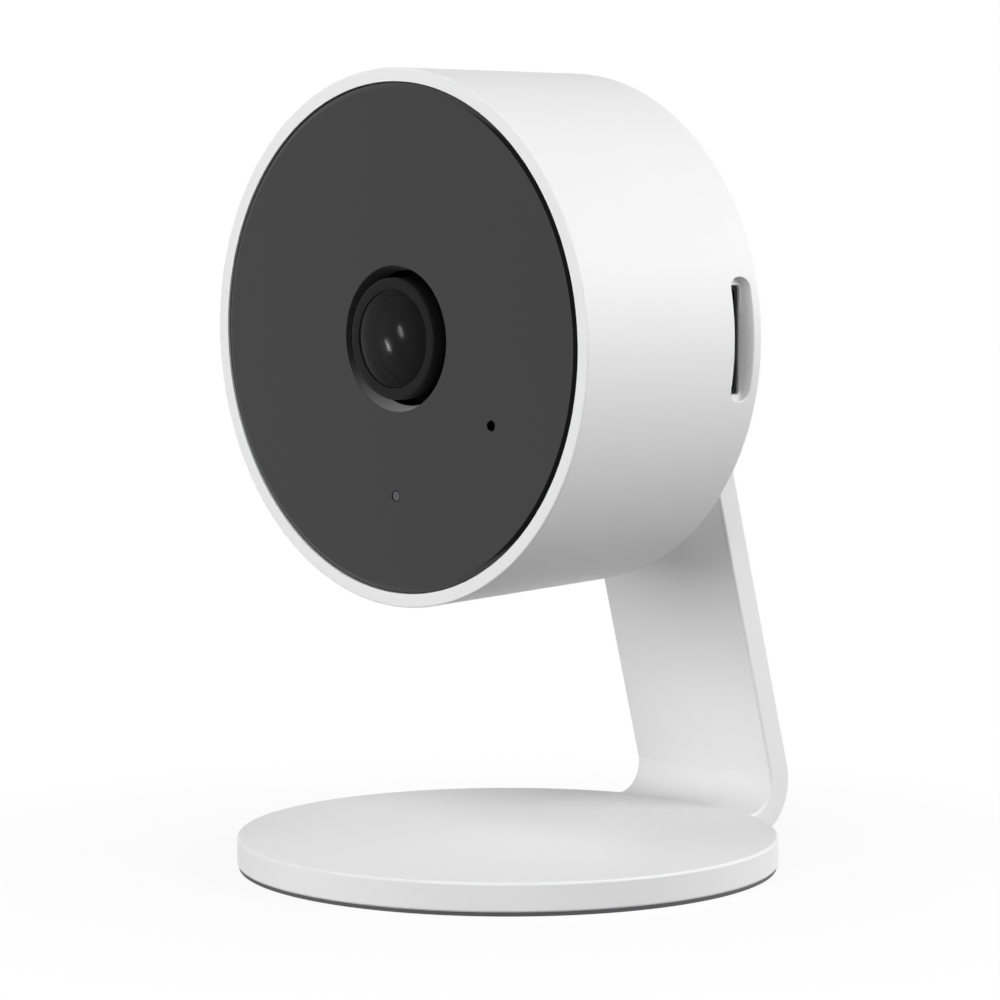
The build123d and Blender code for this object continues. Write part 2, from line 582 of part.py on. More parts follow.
def chassis():
    """Inner frame: a ring under the window, a plate for the light board, and towers and posts to the rear."""
    outside = HEAD_BORE - FIT
    frame = tube(outside, HEAD_BORE - CHASSIS_WALL, LEDGE_DEPTH, CHASSIS_FACE - LEDGE_DEPTH)
    frame += tube(outside, CHASSIS_HOLE_DIAMETER / 2, CHASSIS_FACE, CHASSIS_PLATE)
    for at in TOWERS:
        frame += rod(TOWER_DIAMETER / 2, CHASSIS_BACK, BOARD_FRONT - CHASSIS_BACK, at)
    for at in SENSOR_POSTS:
        frame += rod(SENSOR_POST_DIAMETER / 2, CHASSIS_BACK, SENSOR_BOARD_SPACE, at)
    floor = BOARD_FRONT - TOWER_FLOOR
    head_room = BOARD_SCREW_DIAMETER / 2 * SCREW_HEAD_FACTOR + FIT
    for at in TOWERS:
        frame -= rod(head_room, CHASSIS_FACE, floor - CHASSIS_FACE, at)
        frame -= rod(BOARD_SCREW_DIAMETER / 2 + FIT, floor, TOWER_FLOOR, at)
    for at in SENSOR_POSTS:
        frame -= rod(SMALL_SCREW_DIAMETER / 2 + THREAD_FIT, SENSOR_BOARD_DEPTH - SCREW_BITE - FIT,
                     SCREW_BITE + FIT, at)
    for at in led_screw_places():
        frame -= rod(SMALL_SCREW_DIAMETER / 2 + THREAD_FIT, CHASSIS_FACE, CHASSIS_PLATE, at)
    return frame


def chassis_screws():
    """Four screws down the towers, through the main board and into the shell."""
    length = TOWER_FLOOR + MAIN_BOARD_THICKNESS + SCREW_BITE
    return screws_from_front(BOARD_SCREW_DIAMETER, length, BOARD_FRONT - TOWER_FLOOR, TOWERS)


# Night light board, status light and microphone, behind the window


def led_screw_places():
    """Four places near the edge of the light board."""
    return on_circle(LED_BOARD_DIAMETER - 3 * SMALL_SCREW_DIAMETER, 4)


def led_board():
    """Ring-shaped board on the chassis plate."""
    board = tube(LED_BOARD_DIAMETER / 2, LED_BOARD_HOLE_DIAMETER / 2, LED_BOARD_DEPTH, LED_BOARD_THICKNESS)
    for at in led_screw_places():
        board -= rod(SMALL_SCREW_DIAMETER / 2 + FIT, LED_BOARD_DEPTH, LED_BOARD_THICKNESS, at)
    return board


def led_screws():
    """Hold the light board to the chassis."""
    length = LED_BOARD_THICKNESS + CHASSIS_PLATE
    return screws_from_front(SMALL_SCREW_DIAMETER, length, LED_BOARD_DEPTH, led_screw_places())


def ir_leds():
    """Ring of infrared emitters: square bases with clear domes."""
    base_depth = LED_BOARD_DEPTH - LED_BASE
    leds = []
    for at in on_circle(LED_CIRCLE, LED_COUNT, 180 / LED_COUNT):
        base = plate(RectangleRounded(LED_SIZE, LED_SIZE, LED_SIZE / 8), base_depth, LED_BASE, at)
        leds.append(base + Pos(*at, -base_depth) * dome(LED_DOME_DIAMETER / 2))
    return Compound(leds)


def status_led():
    """Small lamp under the light pipe."""
    outline = Rectangle(STATUS_LED_SIZE, STATUS_LED_SIZE / 2)
    return plate(outline, LED_BOARD_DEPTH - STATUS_LED_THICKNESS, STATUS_LED_THICKNESS, (0, LIGHT_Y))


def light_pipe():
    """Clear rod from the status lamp to the window's lower hole, with a flange behind the window."""
    at = (0, LIGHT_Y)
    radius = LIGHT_HOLE_DIAMETER / 2 - FIT
    length = LED_BOARD_DEPTH - STATUS_LED_THICKNESS - 2 * THREAD_FIT
    pipe = rod(radius, THREAD_FIT, length, at)
    return pipe + rod(radius + LIGHT_PIPE_FLANGE, WINDOW_THICKNESS, LIGHT_PIPE_FLANGE_THICKNESS, at)


def mic_boot():
    """Rubber sleeve that seals the microphone to the window's sound hole."""
    at = (MIC_X, MIC_Y)
    mic_depth = LED_BOARD_DEPTH - MIC_THICKNESS
    boot = rod(MIC_DIAMETER / 2 + MIC_BOOT_WALL, WINDOW_THICKNESS, LED_SPACE, at)
    boot -= rod(MIC_HOLE_DIAMETER / 2, WINDOW_THICKNESS, LED_SPACE, at)
    return boot - rod(MIC_DIAMETER / 2, mic_depth, MIC_THICKNESS, at)


def microphone():
    """Capsule in the boot, with a small sound port."""
    capsule = rod(MIC_DIAMETER / 2, LED_BOARD_DEPTH - MIC_THICKNESS, MIC_THICKNESS, (MIC_X, MIC_Y))
    port_depth = MIC_THICKNESS / 4
    return capsule - rod(MIC_HOLE_DIAMETER / 4, LED_BOARD_DEPTH - MIC_THICKNESS, port_depth, (MIC_X, MIC_Y))


def lens_shade():
    """Rubber sleeve between window and chassis that keeps the infrared light out of the lens."""
    outside = LED_BOARD_HOLE_DIAMETER / 2 - FIT
    return tube(outside, outside - SHADE_THICKNESS, WINDOW_THICKNESS, CHASSIS_FACE - WINDOW_THICKNESS)


# Lens and filter


def lens_barrel():
    """Black lens body: a wide front ring, a threaded rear and a bore for the glass."""
    front = -LENS_PROUD
    barrel = rod(LENS_DIAMETER / 2, front, LENS_HEAD_LENGTH)
    barrel = fillet(barrel.edges().filter_by(GeomType.CIRCLE).sort_by(Axis.Z)[-1], LENS_EDGE_ROUND)
    barrel += rod(LENS_THREAD_DIAMETER / 2, LENS_NECK_DEPTH, HOLDER_BLOCK_DEPTH - LENS_NECK_DEPTH)
    barrel -= rod(LENS_BORE_DIAMETER / 2, front, HOLDER_BLOCK_DEPTH - front)
    return barrel - rod(GLASS_DIAMETER / 2 + THREAD_FIT, front, GLASS_RIM_DROP + GLASS_RIM)


def lens_front_glass():
    """Front element: a domed outer face, a hollow inner face and a flat rim on the barrel's shoulder."""
    radius = GLASS_DIAMETER / 2
    rim_front = GLASS_RIM_DROP - LENS_PROUD
    rim_back = rim_front + GLASS_RIM
    crown = GLASS_CROWN_RADIUS - (GLASS_CROWN_RADIUS ** 2 - radius ** 2) ** 0.5
    glass = rod(radius, rim_front - crown, GLASS_RIM + crown)
    glass &= Pos(0, 0, -(rim_front - crown + GLASS_CROWN_RADIUS)) * Sphere(GLASS_CROWN_RADIUS)
    hollow = LENS_BORE_DIAMETER / 2 - FIT
    hollow_centre = rim_back + (GLASS_HOLLOW_RADIUS ** 2 - hollow ** 2) ** 0.5
    return glass - Pos(0, 0, -hollow_centre) * Sphere(GLASS_HOLLOW_RADIUS)


def lens_stop():
    """Thin black disc with the aperture."""
    return tube(LENS_BORE_DIAMETER / 2 - THREAD_FIT, STOP_HOLE_DIAMETER / 2, STOP_DEPTH, STOP_THICKNESS)


def lens_rear_glass():
    """Rear element: domed on both faces, with a flat flange that fits the barrel's bore."""
    radius = LENS_BORE_DIAMETER / 2 - THREAD_FIT
    middle = REAR_GLASS_DEPTH + REAR_GLASS_THICKNESS / 2
    glass = rod(radius, REAR_GLASS_DEPTH, REAR_GLASS_THICKNESS)
    offset = REAR_GLASS_RADIUS - REAR_GLASS_THICKNESS / 2
    glass &= Pos(0, 0, -middle - offset) * Sphere(REAR_GLASS_RADIUS)
    glass &= Pos(0, 0, -middle + offset) * Sphere(REAR_GLASS_RADIUS)
    return glass + rod(radius, middle - REAR_GLASS_FLANGE / 2, REAR_GLASS_FLANGE)


def shuttle_length():
    """The sliding filter frame spans two holes and a margin at each end."""
    return FILTER_PITCH + FILTER_HOLE_DIAMETER + 2 * SHUTTLE_MARGIN


def lens_holder():
    """Threaded tube for the lens on a block that is hollow behind, where the filter frame slides."""
    outline = RectangleRounded(HOLDER_WIDTH, HOLDER_HEIGHT, HOLDER_CORNER)
    holder = plate(outline, HOLDER_BLOCK_DEPTH, FILTER_BASE_DEPTH - HOLDER_BLOCK_DEPTH)
    holder += rod(HOLDER_TUBE_DIAMETER / 2, HOLDER_BLOCK_DEPTH - HOLDER_TUBE_LENGTH, HOLDER_TUBE_LENGTH)
    holder -= rod(LENS_THREAD_DIAMETER / 2 + THREAD_FIT, HOLDER_BLOCK_DEPTH - HOLDER_TUBE_LENGTH,
                  HOLDER_TUBE_LENGTH)
    holder -= rod(FILTER_HOLE_DIAMETER / 2, HOLDER_BLOCK_DEPTH, HOLDER_FRONT_WALL)
    room = Rectangle(shuttle_length() + FILTER_PITCH + 2 * SHUTTLE_FIT, SHUTTLE_HEIGHT + 2 * SHUTTLE_FIT)
    depth = SHUTTLE_DEPTH - SHUTTLE_FIT
    return holder - plate(room, depth, FILTER_BASE_DEPTH - depth)


def filter_base():
    """Closes the filter's slideway from behind and stands round the image sensor."""
    outline = RectangleRounded(HOLDER_WIDTH, HOLDER_HEIGHT, HOLDER_CORNER)
    base = plate(outline, FILTER_BASE_DEPTH, FILTER_BASE_THICKNESS)
    base -= rod(FILTER_HOLE_DIAMETER / 2, FILTER_BASE_DEPTH, FILTER_BASE_WALL)
    room = Rectangle(SENSOR_WIDTH + 4 * FIT, SENSOR_HEIGHT + 4 * FIT)
    return base - plate(room, FILTER_BASE_DEPTH + FILTER_BASE_WALL, FILTER_BASE_THICKNESS - FILTER_BASE_WALL)


def filter_shuttle():
    """Frame with a day and a night filter side by side: it slides one or the other behind the lens."""
    shuttle = plate(
        RectangleRounded(shuttle_length(), SHUTTLE_HEIGHT, SHUTTLE_MARGIN), SHUTTLE_DEPTH, SHUTTLE_THICKNESS,
        (FILTER_PITCH / 2, 0))
    for x in (0, FILTER_PITCH):
        shuttle -= rod(FILTER_HOLE_DIAMETER / 2, SHUTTLE_DEPTH, SHUTTLE_THICKNESS, (x, 0))
    return shuttle


def filter_glass(x):
    """Round filter glass in one of the shuttle's holes."""
    depth = SHUTTLE_DEPTH + (SHUTTLE_THICKNESS - FILTER_GLASS_THICKNESS) / 2
    return rod(FILTER_HOLE_DIAMETER / 2 - THREAD_FIT, depth, FILTER_GLASS_THICKNESS, (x, 0))


def filter_coil():
    """Bobbin and winding on the sensor board, which pulls the shuttle across."""
    radius = COIL_DIAMETER / 2
    lift = SENSOR_BOARD_DEPTH - radius - COIL_CHEEK / 2
    spindle = Rot(Y=90) * Cylinder(radius, COIL_LENGTH - 2 * COIL_CHEEK)
    cheek = Box(COIL_CHEEK, COIL_DIAMETER + COIL_CHEEK, COIL_DIAMETER + COIL_CHEEK)
    end = (COIL_LENGTH - COIL_CHEEK) / 2
    coil = spindle + Pos(end, 0, 0) * cheek + Pos(-end, 0, 0) * cheek
    return Pos(0, HOLDER_HEIGHT / 2 + radius + COIL_CHEEK / 2 + FIT, -lift) * coil


# Boards


def sensor_board():
    """Square board on the chassis posts."""
    outline = RectangleRounded(SENSOR_BOARD_SIZE, SENSOR_BOARD_SIZE, SMALL_SCREW_DIAMETER)
    board = plate(outline, SENSOR_BOARD_DEPTH, SENSOR_BOARD_THICKNESS)
    for at in SENSOR_POSTS:
        board -= rod(SMALL_SCREW_DIAMETER / 2 + FIT, SENSOR_BOARD_DEPTH, SENSOR_BOARD_THICKNESS, at)
    return board


def sensor_screws():
    """Hold the sensor board to the chassis posts from behind."""
    length = SENSOR_BOARD_THICKNESS + SCREW_BITE
    return screws_from_rear(SMALL_SCREW_DIAMETER, length, SENSOR_BOARD_BACK, SENSOR_POSTS)


def image_sensor():
    """Image sensor package on the optical axis."""
    outline = Rectangle(SENSOR_WIDTH, SENSOR_HEIGHT)
    return plate(outline, SENSOR_BOARD_DEPTH - SENSOR_THICKNESS, SENSOR_THICKNESS)


def main_board():
    """Ring-shaped main board round the ball joint, held between the towers and the shell."""
    board = tube(MAIN_BOARD_RADIUS, MAIN_BOARD_HOLE_DIAMETER / 2, BOARD_FRONT, MAIN_BOARD_THICKNESS)
    for at in TOWERS:
        board -= rod(BOARD_SCREW_DIAMETER / 2 + FIT, BOARD_FRONT, MAIN_BOARD_THICKNESS, at)
    return board


def processor_shield():
    """Tin can over the processor on the main board's front."""
    depth = BOARD_FRONT - SHIELD_THICKNESS
    can = plate(RectangleRounded(SHIELD_WIDTH, SHIELD_HEIGHT, 2 * SHIELD_SKIN), depth, SHIELD_THICKNESS,
                (SHIELD_X, 0))
    room = Rectangle(SHIELD_WIDTH - 2 * SHIELD_SKIN, SHIELD_HEIGHT - 2 * SHIELD_SKIN)
    return can - plate(room, depth + SHIELD_SKIN, SHIELD_THICKNESS - SHIELD_SKIN, (SHIELD_X, 0))


def processor():
    """Processor package under its shield."""
    thickness = SHIELD_THICKNESS - 2 * SHIELD_SKIN
    side = SHIELD_WIDTH - 2 * PROCESSOR_CLEARANCE
    return plate(Rectangle(side, side), BOARD_FRONT - thickness, thickness, (SHIELD_X, 0))


def radio_module():
    """Wireless module on the main board's front, above the ball joint."""
    outline = Rectangle(RADIO_WIDTH, RADIO_HEIGHT)
    return plate(outline, BOARD_FRONT - RADIO_THICKNESS, RADIO_THICKNESS, (0, GRILLE_Y))


def memory_chip():
    """Memory package on the main board's front."""
    outline = Rectangle(MEMORY_WIDTH, MEMORY_HEIGHT)
    return plate(outline, BOARD_FRONT - MEMORY_THICKNESS, MEMORY_THICKNESS, (MEMORY_X, 0))


def upper_connector_y():
    """The sensor board's flex connector stands at the board's lower edge."""
    return (CONNECTOR_HEIGHT - SENSOR_BOARD_SIZE) / 2 + FIT


def lower_connector_y():
    """The main board's flex connector stands below the flex's drop."""
    return upper_connector_y() - CONNECTOR_HEIGHT - 2 * FLEX_DROP


def flex_connectors():
    """Two sockets for the flat cable, one on each board."""
    outline = Rectangle(CONNECTOR_WIDTH, CONNECTOR_HEIGHT)
    upper = plate(outline, SENSOR_BOARD_BACK, CONNECTOR_THICKNESS, (0, upper_connector_y()))
    lower = plate(outline, BOARD_FRONT - CONNECTOR_THICKNESS, CONNECTOR_THICKNESS, (0, lower_connector_y()))
    return Compound([upper, lower])


def sensor_flex():
    """Flat cable from the sensor board's connector back to the main board's."""
    start_y = upper_connector_y() - CONNECTOR_HEIGHT / 2
    start_depth = SENSOR_BOARD_BACK + CONNECTOR_THICKNESS / 2
    end_depth = BOARD_FRONT - CONNECTOR_THICKNESS / 2
    path = FilletPolyline(
        (0, start_y, -start_depth),
        (0, start_y - FLEX_DROP, -start_depth),
        (0, start_y - FLEX_DROP, -end_depth),
        (0, start_y - 2 * FLEX_DROP, -end_depth),
        radius=FLEX_BEND,
    )
    section = Plane(origin=path @ 0, x_dir=(1, 0, 0), z_dir=path % 0) * Rectangle(FLEX_WIDTH, FLEX_THICKNESS)
    return sweep(section, path=path)


# Sound, ports and button at the rear


def speaker_outline(shrink=0.0):
    """Racetrack outline of the speaker, or one that lies inside it."""
    return SlotOverall(SPEAKER_WIDTH - 2 * shrink, SPEAKER_HEIGHT - 2 * shrink)


def speaker_gasket():
    """Foam ring between the speaker and the rear wall."""
    ring = speaker_outline() - speaker_outline(SPEAKER_RIM)
    return plate(ring, REAR_INSIDE - GASKET_THICKNESS, GASKET_THICKNESS, (0, GRILLE_Y))


def speaker_depth():
    """Front of the speaker's basket."""
    return REAR_INSIDE - GASKET_THICKNESS - SPEAKER_THICKNESS


def speaker_basket():
    """Shallow racetrack tray with the magnet's floor at its front."""
    basket = plate(speaker_outline(), speaker_depth(), SPEAKER_THICKNESS, (0, GRILLE_Y))
    room = SPEAKER_THICKNESS - SPEAKER_FLOOR
    return basket - plate(speaker_outline(SPEAKER_RIM), speaker_depth() + SPEAKER_FLOOR, room, (0, GRILLE_Y))


def speaker_cone():
    """Diaphragm that closes the basket's rear side."""
    outline = speaker_outline(SPEAKER_RIM + THREAD_FIT)
    depth = REAR_INSIDE - GASKET_THICKNESS - 2 * CONE_THICKNESS
    return plate(outline, depth, CONE_THICKNESS, (0, GRILLE_Y))


def usb_shell():
    """Metal shell of the power port, which stands on the main board and opens through the rear wall."""
    length = HEAD_LENGTH - USB_SET_BACK - BOARD_BACK
    shell = plate(usb_outline(), BOARD_BACK, length, (USB_X, 0))
    return shell - plate(usb_outline(-USB_WALL), BOARD_BACK, length, (USB_X, 0))


def usb_tongue():
    """Insulating base of the port with its contact tongue."""
    length = HEAD_LENGTH - USB_SET_BACK - BOARD_BACK
    base = plate(usb_outline(-USB_WALL - THREAD_FIT), BOARD_BACK, USB_BASE_LENGTH, (USB_X, 0))
    tongue = Rectangle(USB_TONGUE_THICKNESS, USB_LONG - 4 * USB_WALL - 2 * FIT)
    return base + plate(tongue, BOARD_BACK, length - USB_TONGUE_SET_BACK, (USB_X, 0))


def card_socket():
    """Memory card socket on the main board's rear, with a nose that fills the slot in the pocket's floor."""
    body_end = CARD_HOUSING_X - FIT
    body_length = body_end - SOCKET_BOSS_RADIUS - CARD_SOCKET_GAP
    body_back = CARD_DEPTH + CARD_SLOT_WIDE / 2 + FIT
    body_tall = CARD_SLOT_TALL + CARD_SLOT_WIDE
    socket = Pos(body_end, 0, -BOARD_BACK) * Box(
        body_length, body_tall, body_back - BOARD_BACK, align=(Align.MAX, Align.CENTER, Align.MAX))
    nose_length = CARD_FLOOR_X - 2 * FIT - body_end
    nose = extrude(
        RectangleRounded(CARD_SLOT_TALL - 2 * FIT, CARD_SLOT_WIDE - 2 * FIT, CARD_SLOT_WIDE / 5), nose_length)
    mouth_length = nose_length + body_length - 4 * FIT
    mouth = extrude(RectangleRounded(CARD_MOUTH_TALL, CARD_MOUTH_WIDE, CARD_MOUTH_WIDE / 4), -mouth_length)
    seat = Plane(origin=(body_end, 0, -CARD_DEPTH), x_dir=(0, 1, 0), z_dir=(1, 0, 0))
    tip = Plane(origin=(body_end + nose_length, 0, -CARD_DEPTH), x_dir=(0, 1, 0), z_dir=(1, 0, 0))
    return socket + seat * nose - tip * mouth


def reset_button():
    """Small cap in the rear wall with a flange that keeps it in."""
    at = (BUTTON_X, BUTTON_Y)
    flange_back = REAR_INSIDE - THREAD_FIT
    cap = rod(BUTTON_DIAMETER / 2, flange_back, HEAD_LENGTH - BUTTON_SET_BACK - flange_back, at)
    cap = fillet(cap.edges().filter_by(GeomType.CIRCLE).sort_by(Axis.Z)[0], BUTTON_DIAMETER / 12)
    flange_front = flange_back - BUTTON_FLANGE_THICKNESS
    return cap + rod(BUTTON_DIAMETER / 2 + BUTTON_FLANGE, flange_front, BUTTON_FLANGE_THICKNESS, at)


def switch_body():
    """Push switch on the main board's rear, open where its plunger goes in."""
    body = plate(RectangleRounded(SWITCH_SIZE, SWITCH_SIZE, SWITCH_SIZE / 10), BOARD_BACK, SWITCH_THICKNESS,
                 (BUTTON_X, BUTTON_Y))
    return body - rod(PLUNGER_DIAMETER / 2 + THREAD_FIT, BOARD_BACK + SWITCH_FLOOR, SWITCH_THICKNESS,
                      (BUTTON_X, BUTTON_Y))


def switch_plunger():
    """The switch's own plunger, which the button's flange pushes."""
    front = BOARD_BACK + SWITCH_FLOOR + BUTTON_TRAVEL + THREAD_FIT
    back = REAR_INSIDE - THREAD_FIT - BUTTON_FLANGE_THICKNESS
    return rod(PLUNGER_DIAMETER / 2, front, back - front, (BUTTON_X, BUTTON_Y))


def aerial():
    """Flexible aerial, stuck to the shell's bore under the top of the head."""
    middle = HEAD_BORE - THREAD_FIT - AERIAL_THICKNESS / 2
    section = Plane.XZ * Pos(middle, -AERIAL_DEPTH - AERIAL_LENGTH / 2)
    strip = revolve(section * Rectangle(AERIAL_THICKNESS, AERIAL_LENGTH), Axis.Z, AERIAL_SPAN)
    return Rot(Z=90 - AERIAL_SPAN / 2) * strip


STAND_PIECES = [stand_bracket, foot_pad, base_weight, arm_screw_cap]
HEAD_PIECES = [
    ball_stud, ball_stud_screw, friction_cup, ball_clamp, clamp_screws, head_shell, front_window, window_tape,
    chassis, chassis_screws, led_board, led_screws, ir_leds, status_led, light_pipe, mic_boot, microphone,
    lens_shade, lens_barrel, lens_front_glass, lens_stop, lens_rear_glass, lens_holder, filter_base,
    filter_shuttle, filter_coil, sensor_board, sensor_screws, image_sensor, main_board, processor_shield,
    processor, radio_module, memory_chip, flex_connectors, sensor_flex, speaker_gasket, speaker_basket,
    speaker_cone, usb_shell, usb_tongue, card_socket, reset_button, switch_body, switch_plunger, aerial,
]

os.makedirs("parts", exist_ok=True)
for piece in STAND_PIECES:
    export_step(piece(), f"parts/{piece.__name__}.step")
for piece in HEAD_PIECES:
    export_step(HEAD * piece(), f"parts/{piece.__name__}.step")
export_step(HEAD * filter_glass(0), "parts/day_filter.step")
export_step(HEAD * filter_glass(FILTER_PITCH), "parts/night_filter.step")
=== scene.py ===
"""Looks of an indoor security camera: a round head on a ball joint, at the top of a bent stand."""

from math import cos, radians, sin, sqrt, tan

import bmesh
import bpy
import numpy as np
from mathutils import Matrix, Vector


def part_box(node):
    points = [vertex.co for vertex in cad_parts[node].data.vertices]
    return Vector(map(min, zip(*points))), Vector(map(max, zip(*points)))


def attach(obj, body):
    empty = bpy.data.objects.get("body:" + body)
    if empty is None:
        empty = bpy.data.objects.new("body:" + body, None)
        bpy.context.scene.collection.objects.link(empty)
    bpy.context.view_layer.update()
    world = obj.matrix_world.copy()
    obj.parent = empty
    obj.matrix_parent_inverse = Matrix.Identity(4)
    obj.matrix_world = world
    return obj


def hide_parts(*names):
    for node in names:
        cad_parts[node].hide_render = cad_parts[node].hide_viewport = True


bl_info = {
    "name": "Indoor security camera",
    "version": (1, 0, 0),
    "blender": (4, 5, 0),
    "location": "3D View > Sidebar > Security camera",
    "description": "Builds the visible pieces of an indoor security camera round its solid model",
    "category": "Object",
}

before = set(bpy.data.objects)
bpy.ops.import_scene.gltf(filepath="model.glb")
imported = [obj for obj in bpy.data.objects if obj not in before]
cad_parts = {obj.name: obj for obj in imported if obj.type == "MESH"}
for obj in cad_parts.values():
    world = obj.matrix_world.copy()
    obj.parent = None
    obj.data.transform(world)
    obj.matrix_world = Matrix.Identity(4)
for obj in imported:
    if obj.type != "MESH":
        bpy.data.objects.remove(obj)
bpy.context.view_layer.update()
MM = 0.001

# Where the head stands in the solid model: its axis runs along Y through the window's centre
WINDOW_LOW, WINDOW_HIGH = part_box("front_window")
HEAD_FRONT_Y = WINDOW_LOW.y
HEAD_AXIS_Z = (WINDOW_LOW.z + WINDOW_HIGH.z) / 2
# Depth behind the head's front of the face of the arm's boss, on which the ball stud's flange sits
BOSS_FACE = 32.484 * MM
# The two ends of a profile lie on its axis if their radii add up to less than this
ON_AXIS = 1e-6 * MM


def length(name, description, mm):
    """A size in metres, from millimetres."""
    return bpy.props.FloatProperty(
        name=name, description=description, default=mm * MM, unit="LENGTH", precision=5)


def linear(code):
    """An sRGB hex colour as linear red, green and blue."""
    values = np.array([int(code[i:i + 2], 16) for i in (1, 3, 5)]) / 255
    return tuple(np.where(values <= 0.04045, values / 12.92, ((values + 0.055) / 1.055) ** 2.4))


def colour(name, description, code):
    """A colour that the panel shows as a swatch."""
    return bpy.props.FloatVectorProperty(
        name=name, description=description, default=linear(code), subtype="COLOR", size=3, min=0, max=1)


def angle(name, description, degrees):
    """An angle in radians, from degrees."""
    return bpy.props.FloatProperty(
        name=name, description=description, default=radians(degrees), subtype="ANGLE")


def power(name, description, watts):
    """A lamp's power."""
    return bpy.props.FloatProperty(name=name, description=description, default=watts, min=0, unit="POWER")


class StandSizes(bpy.types.PropertyGroup):
    """Sizes of the disc base and the bent arm."""

    base_diameter: length("Base diameter", "Disc base, across", 63.0)
    base_top: length("Base top", "Height of the base's upper face", 3.8)
    pad_thickness: length("Foot pad", "Thickness of the soft pad under the base", 0.4)
    pad_inset: length("Foot pad inset", "How far the pad stands back from the base's edge", 0.2)
    edge_round: length("Edge round", "Rounding of the base's and the arm's edges", 0.35)
    arm_width: length("Arm width", "Width of the bent strip", 22.3)
    arm_thickness: length("Arm thickness", "Thickness of the bent strip", 3.2)
    arm_setback: length("Arm setback", "Centre of the bend, behind the base's centre", 29.79)
    arm_bend: length("Bend radius", "Inner radius of the bend", 3.5)
    bend_sink: length("Bend sink", "How far the bend runs on below the base's top, past its crease", 0.13)
    arm_top: length("Arm top", "Height of the arm's top edge on its front face", 69.03)
    arm_corner: length("Arm corner", "Radius of the arm's two upper corners", 9.5)
    arm_lean: angle("Arm lean", "How far the arm leans forward", 15.2)


class HeadSizes(bpy.types.PropertyGroup):
    """Sizes of the head's housing, window and lens."""

    diameter: length("Head diameter", "Front rim, across", 60.78)
    depth: length("Head depth", "From the front rim to the rear face", 28.9)
    front_round: length("Front round", "Rounding of the rim's outer edge", 0.2)
    rear_round: length("Rear round", "Rounding of the rear edge", 0.6)
    window_diameter: length("Window diameter", "Dark front disc, across", 57.46)
    window_thickness: length("Window thickness", "Dark front disc, through", 2.0)
    window_bevel: length("Window bevel", "Width of the shallow bevel on the window's edge", 0.55)
    bevel_drop: length("Bevel drop", "How far that bevel falls away to the edge", 0.2)
    lens_hole: length("Lens hole", "Hole in the window for the lens, across", 16.5)
    lens_hole_taper: length("Lens hole taper", "How much the hole's radius shrinks to the back", 0.6)
    lens_diameter: length("Lens diameter", "Front ring of the lens, across", 13.8)
    lens_proud: length("Lens proud", "How far the lens ring stands out of the rim's plane", 0.48)
    glass_diameter: length("Glass diameter", "Front glass, across", 11.0)
    glass_crown: length("Glass crown radius", "Radius of the domed front glass", 16.0)
    draft: angle("Draft", "Taper of the head's side", 1.7)


class Finishes(bpy.types.PropertyGroup):
    """Colours of the finishes that show."""

    housing: colour("Housing", "White moulded plastic of the head and stand", "#e9e9e9")
    window: colour("Window", "Dark acrylic of the front disc", "#1e1e1f")
    cut_edge: colour("Window's cut edge", "Ground wall of the lens hole", "#9a9a9a")
    lens: colour("Lens body", "Black plastic of the lens ring", "#101011")
    pad: colour("Foot pad", "Grey silicone under the base", "#5a5a5c")
    status: colour("Status light", "Unlit light pipe", "#48484a")


class StageSettings(bpy.types.PropertyGroup):
    """Camera and lights."""

    focal_length: bpy.props.FloatProperty(
        name="Focal length", description="Focal length on a 36 mm sensor, in millimetres", default=160.13)
    azimuth: angle("Azimuth", "Camera's turn from the front to the right", 45.779)
    elevation: angle("Elevation", "Camera's angle above the level", 5.847)
    distance: length("Distance", "From the camera to its target", 514.512)
    target_height: length("Target height", "Height of the point that the camera looks at", 42.733)
    target_shift: length("Target shift", "Sideways place of that point, to the camera's right", -0.92)
    sky: bpy.props.FloatProperty(
        name="Sky", description="Strength of the even light from all round", default=0.02, min=0)
    lamp_size: length("Lamp size", "Side of each square soft lamp", 450)
    window_lamp_size: length("Window lamp size", "Side of the window's own square lamp", 250)
    lamp_distance: length("Lamp distance", "From each soft lamp to the object", 900)
    front_left: power("Front left lamp", "Power of the low lamp at the front left", 3.45)
    front: power("Front lamp", "Power of the low lamp at the front", 2.25)
    front_right: power("Front right lamp", "Power of the lamp at the front, beside the camera", 2.05)
    front_high: power("Front high lamp", "Power of the lamp high above the front", 2.45)
    rear_right: power("Rear right lamp", "Power of the raised lamp behind the right side", 6.05)
    rear: power("Rear lamp", "Power of the low lamp at the rear", 2.75)
    rear_left: power("Rear left lamp", "Power of the level lamp behind the left side", 2.2)
    window: power("Window lamp", "Power of the lamp that the window and the lens have to themselves", 7.0)
    catchlight: power("Catchlights", "Power of each small strip lamp that shows in the lens", 0.0068)


# Surfaces from arrays


